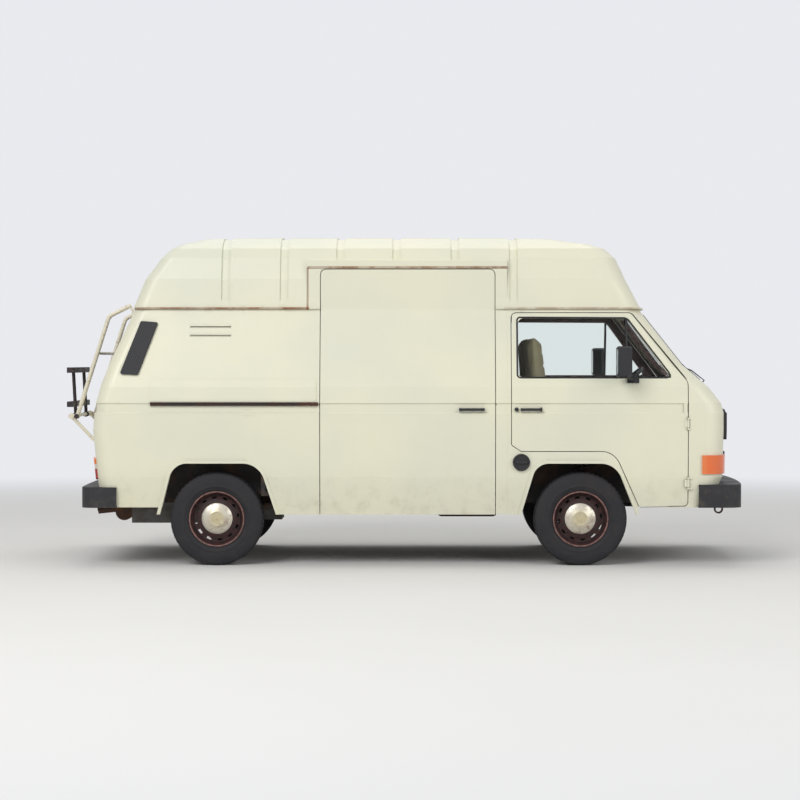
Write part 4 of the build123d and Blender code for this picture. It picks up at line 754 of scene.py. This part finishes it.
black_chassis = underbody("black_chassis", srgb(26, 26, 28), 0.25, 0.25, 0.0)
bare_casting = underbody("bare_casting", srgb(118, 118, 116), 0.4, 0.1, 0.5)
rusty_steel = underbody("rusty_steel", srgb(84, 58, 46), 0.3, 0.8, 0.3)
dress(black_chassis, "floor_pan", "front_crossmember", "rear_axle", "steering_rack", "fuel_tank", "tow_eyes")
dress(bare_casting, "engine_and_gearbox", "knuckle_right", "knuckle_left")
dress(rusty_steel, "exhaust")
dress(finned_alloy(), "radiator")


# Coil springs. A black steel coil round each damper, closed up at its two ends.
FRONT_SPRING = {"x": 1.222, "y": 0.560, "low": 0.400, "high": 0.715, "radius": 0.046, "turns": 6.5}
REAR_SPRING = {"x": -1.170, "y": 0.585, "low": 0.330, "high": 0.560, "radius": 0.042, "turns": 5.5}
SPRING_WIRE = 0.0062
STEPS_PER_TURN = 18
CLOSED_ENDS = 0.055

for end, spring in (("front", FRONT_SPRING), ("rear", REAR_SPRING)):
    for side, word in SIDES:
        count = int(spring["turns"] * STEPS_PER_TURN)
        coil = []
        for index in range(count + 1):
            share = index / count
            rise = share - CLOSED_ENDS * math.sin(2 * math.pi * share)
            turn = 2 * math.pi * spring["turns"] * share
            coil.append((
                spring["x"] + spring["radius"] * math.cos(turn),
                side * spring["y"] + spring["radius"] * math.sin(turn),
                spring["low"] + (spring["high"] - spring["low"]) * rise,
            ))
        fit(tube(f"coil_spring_{end}_{word}", coil, SPRING_WIRE, black_chassis), "root", "underbody")


# Cab fittings. A black moulded dashboard, and a thin-rimmed wheel with a padded boss.
dash_plastic = black_moulding("dash_plastic", srgb(26, 26, 27), srgb(40, 39, 38), 420)
dress(dash_plastic, "dashboard", "steering_wheel")
dress(black_chassis, "seat_bases")


# Seats. Foam pads in a woven fawn cloth on steel frames, with a seam on each side of the middle
# panel and sewn channels across it.
SEAT_SIDES = (("right", -0.420), ("left", 0.420))
PAD_SHRINK = 0.010
PAD_SWELL_LIMIT = 0.024
PAD_VOXEL = 0.009
PAD_PRESSURE = 4.0
PAD_FRAMES = 20
CHANNEL_DEPTH = 0.009
CHANNEL_WIDTH = 0.008


def seat_cloth():
    cloth = Finish("fawn_cloth")
    across = cloth.zigzag(cloth.y, 0.0017)
    along = cloth.zigzag(cloth.x + cloth.z, 0.0014)
    weave = across * 600 * (along * 600)
    worn = cloth.step(cloth.noise(6, 5, 0.6), 0.42, 0.7)
    fleck = cloth.noise(420, 2)
    colour = cloth.mix(worn * 0.5, srgb(160, 148, 116), srgb(184, 174, 146))
    colour = cloth.mix(cloth.step(fleck, 0.55, 0.7) * 0.35, colour, srgb(116, 100, 76))
    return cloth.done(
        Base_Color=colour, Roughness=0.9 - worn * 0.05, Normal=cloth.bump(weave, 0.5, 0.0012),
        Sheen_Weight=0.25, Sheen_Roughness=0.5,
    )


fawn_cloth = seat_cloth()


def applied(piece):
    """Make what the modifiers give the piece's own mesh."""
    graph = bpy.context.evaluated_depsgraph_get()
    mesh = bpy.data.meshes.new_from_object(piece.evaluated_get(graph))
    piece.modifiers.clear()
    piece.data = mesh


def padded(name, shape, channels, replaced):
    """A cushion: a closed shape that swells under pressure, then gets its sewn channels."""
    pad = finished(shape, name, fawn_cloth, 60)
    bpy.context.view_layer.objects.active = pad
    remesh = pad.modifiers.new("remesh", "REMESH")
    remesh.mode = "VOXEL"
    remesh.voxel_size = PAD_VOXEL
    applied(pad)
    start = [vertex.co.copy() for vertex in pad.data.vertices]
    cloth = pad.modifiers.new("cloth", "CLOTH")
    cloth.settings.use_pressure = True
    cloth.settings.uniform_pressure_force = PAD_PRESSURE
    cloth.settings.effector_weights.gravity = 0
    cloth.collision_settings.use_collision = False
    cloth.point_cache.frame_start = 1
    cloth.point_cache.frame_end = PAD_FRAMES
    for frame_number in range(1, PAD_FRAMES + 1):
        bpy.context.scene.frame_set(frame_number)
    applied(pad)
    bpy.context.scene.frame_set(1)
    for vertex, origin in zip(pad.data.vertices, start):
        move = vertex.co - origin
        if move.length > PAD_SWELL_LIMIT:
            vertex.co = origin + move * (PAD_SWELL_LIMIT / move.length)
    bm = bmesh.new()
    bm.from_mesh(pad.data)
    for _ in range(3):
        bmesh.ops.smooth_vert(
            bm, verts=bm.verts, factor=0.5, use_axis_x=True, use_axis_y=True, use_axis_z=True
        )
    bm.normal_update()
    for vertex in bm.verts:
        vertex.co -= vertex.normal * channels(vertex.co)
    bm.to_mesh(pad.data)
    bm.free()
    smooth = pad.modifiers.new("smooth", "SUBSURF")
    smooth.levels = smooth.render_levels = 1
    fit(pad, "root", "seat_fabric", replaced)


def groove(distance):
    """Depth of a sewn channel at a distance from its middle line."""
    return CHANNEL_DEPTH * math.exp(-(distance / CHANNEL_WIDTH) ** 2)


CUSHION_LOW = (1.010, -0.245, 0.8706)
CUSHION_HIGH = (1.490, 0.245, 1.0103)
BACK_FOOT_X = (0.890, 1.010)
BACK_Z = (0.930, 1.570)
BACK_HALF = 0.235
BACK_LEAN = 0.080
BACK_TAPER = 0.042
MIDDLE_PANEL_HALF = 0.150
CUSHION_CHANNELS_X = (1.10, 1.18, 1.26, 1.34, 1.42)
BACK_CHANNELS_Z = (1.08, 1.17, 1.26, 1.35, 1.44)


def sewn(along, across, channels):
    """Depth of the seam beside the middle panel and of the channels across it."""
    side_seam = groove(across - MIDDLE_PANEL_HALF)
    if across > MIDDLE_PANEL_HALF:
        return side_seam
    return max(side_seam, *(groove(along - middle) for middle in channels))


for word, seat_y in SEAT_SIDES:
    size = [high - low - 2 * PAD_SHRINK for low, high in zip(CUSHION_LOW, CUSHION_HIGH)]
    block = rounded_block(size, 0.040, 4)
    middle = [(low + high) / 2 for low, high in zip(CUSHION_LOW, CUSHION_HIGH)]
    moved(block, (middle[0], seat_y, middle[2]))

    def cushion_channels(place):
        if place.z < middle[2]:
            return 0
        return sewn(place.x, abs(place.y - seat_y), CUSHION_CHANNELS_X)

    padded(f"seat_cushion_{word}", block, cushion_channels, "seat_cushions")

    back = bmesh.new()
    bmesh.ops.create_cube(back, size=1)
    for vertex in back.verts:
        rise = vertex.co.z + 0.5
        front = BACK_FOOT_X[1] - BACK_LEAN * rise - PAD_SHRINK
        rear = BACK_FOOT_X[0] - (BACK_LEAN - BACK_TAPER) * rise + PAD_SHRINK
        vertex.co.x = front if vertex.co.x > 0 else rear
        vertex.co.y = seat_y + math.copysign(BACK_HALF - PAD_SHRINK, vertex.co.y)
        vertex.co.z = BACK_Z[0] + PAD_SHRINK + (BACK_Z[1] - BACK_Z[0] - 2 * PAD_SHRINK) * rise
    bmesh.ops.bevel(
        back, geom=back.edges[:], offset=0.034, affect="EDGES", segments=4, profile=0.5, material=-1
    )

    def back_channels(place):
        rise = (place.z - BACK_Z[0]) / (BACK_Z[1] - BACK_Z[0])
        if place.x < (BACK_FOOT_X[0] + BACK_FOOT_X[1]) / 2 - BACK_LEAN * rise:
            return 0
        return sewn(place.z, abs(place.y - seat_y), BACK_CHANNELS_Z)

    padded(f"seat_back_{word}", back, back_channels, "seat_backs")


# Door cards. Hardboard panels in black vinyl inside the cab doors, each with a moulded armrest
# and a window winder.
CARD_OUTLINE = (
    (0.80, 0.82), (1.45, 0.82), (1.63, 0.49), (1.87, 0.49), (1.87, 1.185), (1.81, 1.235), (0.80, 1.235),
)
CARD_GAP = 0.003
CARD_THICKNESS = 0.004
CARD_CUT_EVERY = 0.035
CARD_CUTS = ((0, 0.82, 1.87), (2, 0.50, 1.23))
WINDER_BOSS = ((0.0, 0.022), (0.016, 0.021), (0.020, 0.012), (0.022, 0.0), (0.0, 0.0))
WINDER_KNOB = ((0.0, 0.052), (0.009, 0.051), (0.012, 0.046), (0.010, 0.022), (0.0, 0.022))
ARMREST = {"x": 1.08, "z": 0.985, "size": (0.270, 0.048, 0.058)}
WINDER = {"x": 1.47, "z": 1.02}

card_vinyl = black_moulding("card_vinyl", srgb(38, 36, 36), srgb(56, 52, 50), 320)
for side, word in SIDES:
    door_node = f"cab_door_{word}"
    card = rounded_face(CARD_OUTLINE, 0.030, 4)
    # The card bends with the door, so it is cut into strips both ways
    for axis, start, stop in CARD_CUTS:
        count = int((stop - start) / CARD_CUT_EVERY)
        for index in range(count):
            at, normal = Vector(), Vector()
            at[axis] = start + CARD_CUT_EVERY * (index + 0.5)
            normal[axis] = 1
            everything = card.verts[:] + card.edges[:] + card.faces[:]
            bmesh.ops.bisect_plane(card, geom=everything, plane_co=at, plane_no=normal)
    for vertex in card.verts:
        place, _ = on_panel(door_node, (vertex.co.x, 0, vertex.co.z), (0, side, 0))
        vertex.co.y = place.y - side * CARD_GAP
    faces_out(card)
    outward = math.copysign(1, card.faces[:][0].normal.y)
    bmesh.ops.solidify(card, geom=card.faces[:], thickness=-side * CARD_THICKNESS * outward)
    faces_out(card)
    fit(finished(card, f"door_card_{word}", card_vinyl), f"door_{word}_body", "dash_plastic")

    place, _ = on_panel(door_node, (ARMREST["x"], 0, ARMREST["z"]), (0, side, 0))
    rest = rounded_block(ARMREST["size"], 0.016, 4)
    moved(rest, (ARMREST["x"], place.y - side * 0.026, ARMREST["z"]))
    place, _ = on_panel(door_node, (WINDER["x"], 0, WINDER["z"]), (0, side, 0))
    boss = spun(WINDER_BOSS, 32)
    arm = moved(rounded_block((0.018, 0.007, 0.090), 0.003), (0, 0.020, 0.040))
    knob = moved(spun(WINDER_KNOB, 24), (0, 0, 0.076))
    winder = joined(boss, arm, knob)
    stood_on(winder, place - Vector((0, side * 0.006, 0)), Vector((0, -side, 0)))
    for shape, piece_name in ((rest, f"armrest_{word}"), (winder, f"window_winder_{word}")):
        fit(finished(shape, piece_name, dash_plastic), f"door_{word}_body", "dash_plastic")


# Tyres. Radial road tyres with five ribs, cross grooves on the shoulders and plain bulged
# sidewalls that carry a fine moulded ring.
TYRE_RADIUS = 0.315
TREAD_DEPTH = 0.007
TYRE_STEPS = 224
LUG_EVERY = 4
SHOULDER = {"beyond": 0.048, "above": 0.308}
MIDDLE_RIB = {"from": 0.02, "to": 0.04, "above": 0.312}
MIDDLE_SIPE_TURN = 3
# Half of the section as radius and distance from the middle, from the crown to the bead
HALF_SECTION = (
    (0.3150, 0.0000), (0.3150, 0.0120), (0.3080, 0.0135), (0.3080, 0.0185), (0.3148, 0.0200),
    (0.3145, 0.0400), (0.3075, 0.0415), (0.3075, 0.0465), (0.3142, 0.0480), (0.3125, 0.0720),
    (0.3060, 0.0800), (0.2950, 0.0850), (0.2800, 0.0890), (0.2600, 0.0918), (0.2400, 0.0923),
    (0.2250, 0.0905), (0.2230, 0.0915), (0.2190, 0.0912), (0.2170, 0.0895), (0.2050, 0.0860),
    (0.1950, 0.0810), (0.1900, 0.0790), (0.1810, 0.0750),
)


def rubber():
    tyre = Finish("tyre_rubber")
    dust = tyre.step(tyre.noise(12, 6, 0.6), 0.38, 0.78)
    crazing = tyre.noise(180, 3)
    colour = tyre.mix(dust * 0.18, srgb(22, 22, 28), srgb(92, 84, 74))
    return tyre.done(Base_Color=colour, Roughness=0.72 + dust * 0.15, Normal=tyre.bump(crazing, 0.25, 0.0008))


def turn_of(middle, steps):
    """Which of the steps of a spun shape a face belongs to."""
    return round((math.atan2(middle.z, middle.x) / (2 * math.pi) % 1) * steps - 0.5)


def tyre_shape():
    """The turned section, with grooves sunk across the shoulders and fine cuts in the ribs."""
    bm = spun([*reversed(HALF_SECTION), *((r, -a) for r, a in HALF_SECTION[1:])], TYRE_STEPS, closed=True)
    grooves = []
    for face in bm.faces:
        middle = face.calc_center_median()
        radius = math.hypot(middle.x, middle.z)
        turn = turn_of(middle, TYRE_STEPS)
        shoulder = abs(middle.y) > SHOULDER["beyond"] and radius > SHOULDER["above"]
        rib = MIDDLE_RIB["from"] < abs(middle.y) < MIDDLE_RIB["to"] and radius > MIDDLE_RIB["above"]
        if (shoulder and turn % LUG_EVERY == 0) or (rib and turn % (2 * LUG_EVERY) == MIDDLE_SIPE_TURN):
            grooves.append(face)
    sunk = bmesh.ops.extrude_face_region(bm, geom=grooves)
    for vertex in [item for item in sunk["geom"] if isinstance(item, bmesh.types.BMVert)]:
        out = Vector((vertex.co.x, 0, vertex.co.z)).normalized()
        vertex.co -= out * TREAD_DEPTH
    bmesh.ops.delete(bm, geom=[face for face in grooves if face.is_valid], context="FACES_ONLY")
    faces_out(bm)
    return bm


rubber_black = rubber()
AXLES_X = (("front", 1.200), ("rear", -1.260))
TRACK_HALF = 0.785
WHEEL_CENTRES = {
    f"{end}_{word}": Vector((axle_x, side * TRACK_HALF, TYRE_RADIUS))
    for end, axle_x in AXLES_X for side, word in SIDES
}
for corner, centre in WHEEL_CENTRES.items():
    tyre = finished(moved(tyre_shape(), centre), f"road_tyre_{corner}", rubber_black)
    fit(tyre, f"wheel_{corner}_body", "tyre_rubber", f"tyre_{corner}")


# Wheels. Pressed steel rims in a dark red primer, nearly black with brake dust, each with a
# ring of air slots, a paler worn flange and a plain domed cap that is spotted with rust.
FLANGE_RADIUS = 0.180
WHEEL_STEPS = 96
SLOT_RADII = (0.134, 0.153)
STEPS_PER_SLOT = 8
SLOT_STEPS = (0, 1, 2, 3)
NUT_COUNT = 5
NUT_CIRCLE_RADIUS = 0.056


def wheel_paint(centre):
    """The flange wears paler than the rest, in patches."""
    paint = Finish("wheel_paint")
    patches = paint.step(paint.noise(34, 6, 0.7), 0.40, 0.62)
    across, up = paint.x - centre.x, paint.z - centre.z
    radius = paint.radius(across, up)
    flange = paint.step(radius, FLANGE_RADIUS - 0.004, FLANGE_RADIUS)
    colour = paint.mix(patches * 0.5, srgb(34, 15, 16), srgb(72, 36, 32))
    colour = paint.mix(flange * (0.35 + patches * 0.45), colour, srgb(150, 112, 104))
    relief = paint.bump(patches, 0.3, 0.0006)
    return paint.done(Base_Color=colour, Roughness=0.6 + patches * 0.2, Normal=relief)


def cap_metal(centre):
    """Dulled plating that has worn to yellow in the middle and rusts from its lower edge."""
    metal = Finish("cap_metal")
    across, up = metal.x - centre.x, metal.z - centre.z
    radius = metal.radius(across, up)
    spots = metal.step(metal.noise(38, 6, 0.72), 0.52, 0.66)
    blotch = metal.step(metal.noise(13, 5, 0.65), 0.50, 0.62)
    yellow = metal.step(radius, 0.085, 0.02)
    low_edge = metal.step(up - across * 0.7, 0.0, -0.11) * blotch
    colour = metal.mix(yellow * 0.55, srgb(205, 199, 184), srgb(196, 180, 122))
    colour = metal.mix(spots * 0.45, colour, srgb(146, 118, 88))
    colour = metal.mix(low_edge * 0.7, colour, srgb(112, 62, 48))
    worn = spots * 0.4 + low_edge * 0.5
    return metal.done(
        Base_Color=colour, Metallic=0.55 - worn * 0.5, Roughness=0.34 + worn * 0.4,
        Normal=metal.bump(spots + blotch * 0.4, 0.35, 0.0005),
    )


def rim_shape():
    """Rim barrel with its two flanges, as one thin turned wall."""
    wall = [
        (0.1700, -0.0700), (0.1840, -0.0780), (0.1880, -0.0760), (0.1800, -0.0680), (0.1740, -0.0500),
        (0.1660, -0.0400), (0.1660, 0.0380), (0.1740, 0.0560), (0.1800, 0.0760), (0.1878, 0.0830),
        (0.1868, 0.0872), (0.1800, 0.0860), (0.1755, 0.0780), (0.1710, 0.0560), (0.1620, 0.0420),
        (0.1600, 0.0360), (0.1600, -0.0440), (0.1680, -0.0540),
    ]
    return spun(wall, WHEEL_STEPS, closed=True)


def disc_shape():
    """Wheel disc between cap and rim, with a ring of rounded air slots."""
    dish = [(0.1615, 0.0400), (0.1540, 0.0330), (0.1330, 0.0330), (0.1180, 0.0420), (0.0700, 0.0420)]
    bm = spun(dish, WHEEL_STEPS)
    slots = []
    for face in bm.faces:
        middle = face.calc_center_median()
        in_ring = SLOT_RADII[0] < math.hypot(middle.x, middle.z) < SLOT_RADII[1]
        if in_ring and turn_of(middle, WHEEL_STEPS) % STEPS_PER_SLOT in SLOT_STEPS:
            slots.append(face)
    bmesh.ops.inset_region(
        bm, faces=slots, thickness=0.0030, depth=0, use_boundary=True, use_even_offset=True
    )
    bmesh.ops.delete(bm, geom=slots, context="FACES")
    bmesh.ops.solidify(bm, geom=bm.faces, thickness=0.004)
    faces_out(bm)
    return bm


def cap_shape():
    """Domed hub cap with a turned-in rim and a shallow raised boss, hollow behind."""
    dome = [
        (0.1180, 0.0260), (0.1255, 0.0270), (0.1270, 0.0300), (0.1262, 0.0335), (0.1200, 0.0365),
        (0.1130, 0.0400), (0.1050, 0.0455), (0.0930, 0.0520), (0.0760, 0.0580), (0.0560, 0.0625),
        (0.0520, 0.0640), (0.0480, 0.0655), (0.0440, 0.0650), (0.0400, 0.0640), (0.0200, 0.0665),
        (0.0, 0.0670),
    ]
    return spun(dome, WHEEL_STEPS)


def nut_shape():
    """Wheel nuts on the disc, hidden under the cap from outside and seen from behind."""
    nuts = []
    for index in range(NUT_COUNT):
        nut = bmesh.new()
        bmesh.ops.create_cone(nut, cap_ends=True, segments=6, radius1=0.0105, radius2=0.0095, depth=0.016)
        bmesh.ops.rotate(nut, verts=nut.verts, matrix=Matrix.Rotation(math.pi / 2, 3, "X"))
        angle = 2 * math.pi * index / NUT_COUNT
        place = (NUT_CIRCLE_RADIUS * math.cos(angle), 0.030, NUT_CIRCLE_RADIUS * math.sin(angle))
        moved(nut, place)
        nuts.append(nut)
    return joined(*nuts)


for corner, centre in WHEEL_CENTRES.items():
    side = math.copysign(1, centre.y)
    rim_paint, old_plating = wheel_paint(centre), cap_metal(centre)
    for part, shape, material in (
        ("rim", rim_shape, rim_paint), ("disc", disc_shape, rim_paint),
        ("hub_cap", cap_shape, old_plating), ("wheel_nuts", nut_shape, rusty_steel),
    ):
        bm = shape()
        bmesh.ops.scale(bm, verts=bm.verts, vec=(1, side, 1))
        faces_out(bm)
        moved(bm, centre)
        piece = finished(bm, f"{part}_{corner}", material)
        fit(piece, f"wheel_{corner}_body", "wheel_paint", f"wheel_{corner}")


# Spare wheel. The same wheel, lying flat in its carrier under the nose.
SPARE_CENTRE = Vector((1.675, 0, 0.4522))

spare_paint = underbody("spare_wheel_paint", srgb(44, 24, 24), 0.35, 0.4, 0.0)
lie_flat = Matrix.Translation(SPARE_CENTRE) @ Matrix.Rotation(-math.pi / 2, 4, "X")
for part, shape, material in (
    ("tyre", tyre_shape, rubber_black), ("rim", rim_shape, spare_paint),
    ("disc", disc_shape, spare_paint),
):
    bm = shape()
    bmesh.ops.transform(bm, matrix=lie_flat, verts=bm.verts)
    fit(finished(bm, f"spare_{part}", material), "root", "tyre_rubber", "spare_wheel")


# Studio. A plain pale floor, a pale surround and three large soft lamps. Far off, the floor
# takes the brightness of the surround where it is seen, so no horizon shows.
FLOOR_SIZE = 60.0
LIT_FLOOR_RADIUS = 4.0
FADED_FLOOR_RADIUS = 12.0
SURROUND_COLOUR = Vector((0.95, 0.96, 1.0))
SURROUND_SEEN = 0.86
SURROUND_LIGHT = 0.45


def seen_directly(tree):
    """A socket that is 1 where the camera looks, also by a reflection or through glass."""
    path = tree.nodes.new("ShaderNodeLightPath")
    seen = path.outputs["Is Camera Ray"]
    for name in ("Is Glossy Ray", "Is Transmission Ray"):
        either = tree.nodes.new("ShaderNodeMath")
        either.operation = "MAXIMUM"
        tree.links.new(seen, either.inputs[0])
        tree.links.new(path.outputs[name], either.inputs[1])
        seen = either.outputs[0]
    return seen


def floor_finish():
    floor = Finish("pale_floor")
    mottled = floor.noise(0.7, 3)
    away = floor.x * floor.x + floor.y * floor.y
    far = floor.step(away, LIT_FLOOR_RADIUS ** 2, FADED_FLOOR_RADIUS ** 2)
    colour = floor.mix(mottled, srgb(226, 225, 221), srgb(230, 229, 225))
    black = (0, 0, 0, 1)
    glowing = far * Value(floor, seen_directly(floor.tree))
    glow = floor.mix(glowing, black, (*SURROUND_COLOUR * SURROUND_SEEN, 1))
    return floor.done(
        Base_Color=floor.mix(far, colour, black), Roughness=0.9, Specular_IOR_Level=0.0,
        Emission_Color=glow, Emission_Strength=1.0,
    )


bm = bmesh.new()
bmesh.ops.create_grid(bm, x_segments=8, y_segments=8, size=FLOOR_SIZE)
floor = finished(bm, "studio_floor", floor_finish())

world = bpy.data.worlds.new("surround")
bpy.context.scene.world = world
world.use_nodes = True
surround = world.node_tree.nodes["Background"]
surround.inputs["Color"].default_value = (*SURROUND_COLOUR, 1)
strength = world.node_tree.nodes.new("ShaderNodeMapRange")
strength.inputs["To Min"].default_value = SURROUND_LIGHT
strength.inputs["To Max"].default_value = SURROUND_SEEN
world.node_tree.links.new(seen_directly(world.node_tree), strength.inputs["Value"])
world.node_tree.links.new(strength.outputs[0], surround.inputs["Strength"])

for name, place, size, energy in (
    ("key_lamp", (-6, -11, 9), 7, 960),
    ("fill_lamp", (9, -9, 5), 7, 400),
    ("top_lamp", (0, 4, 11), 9, 380),
):
    lamp = bpy.data.lights.new(name, "AREA")
    lamp.size = size
    lamp.energy = energy
    holder = bpy.data.objects.new(name, lamp)
    holder.location = place
    holder.rotation_euler = (Vector((0, 0, 0.8)) - Vector(place)).to_track_quat("-Z", "Y").to_euler()
    bpy.context.scene.collection.objects.link(holder)
bpy.context.scene.view_settings.view_transform = "Standard"
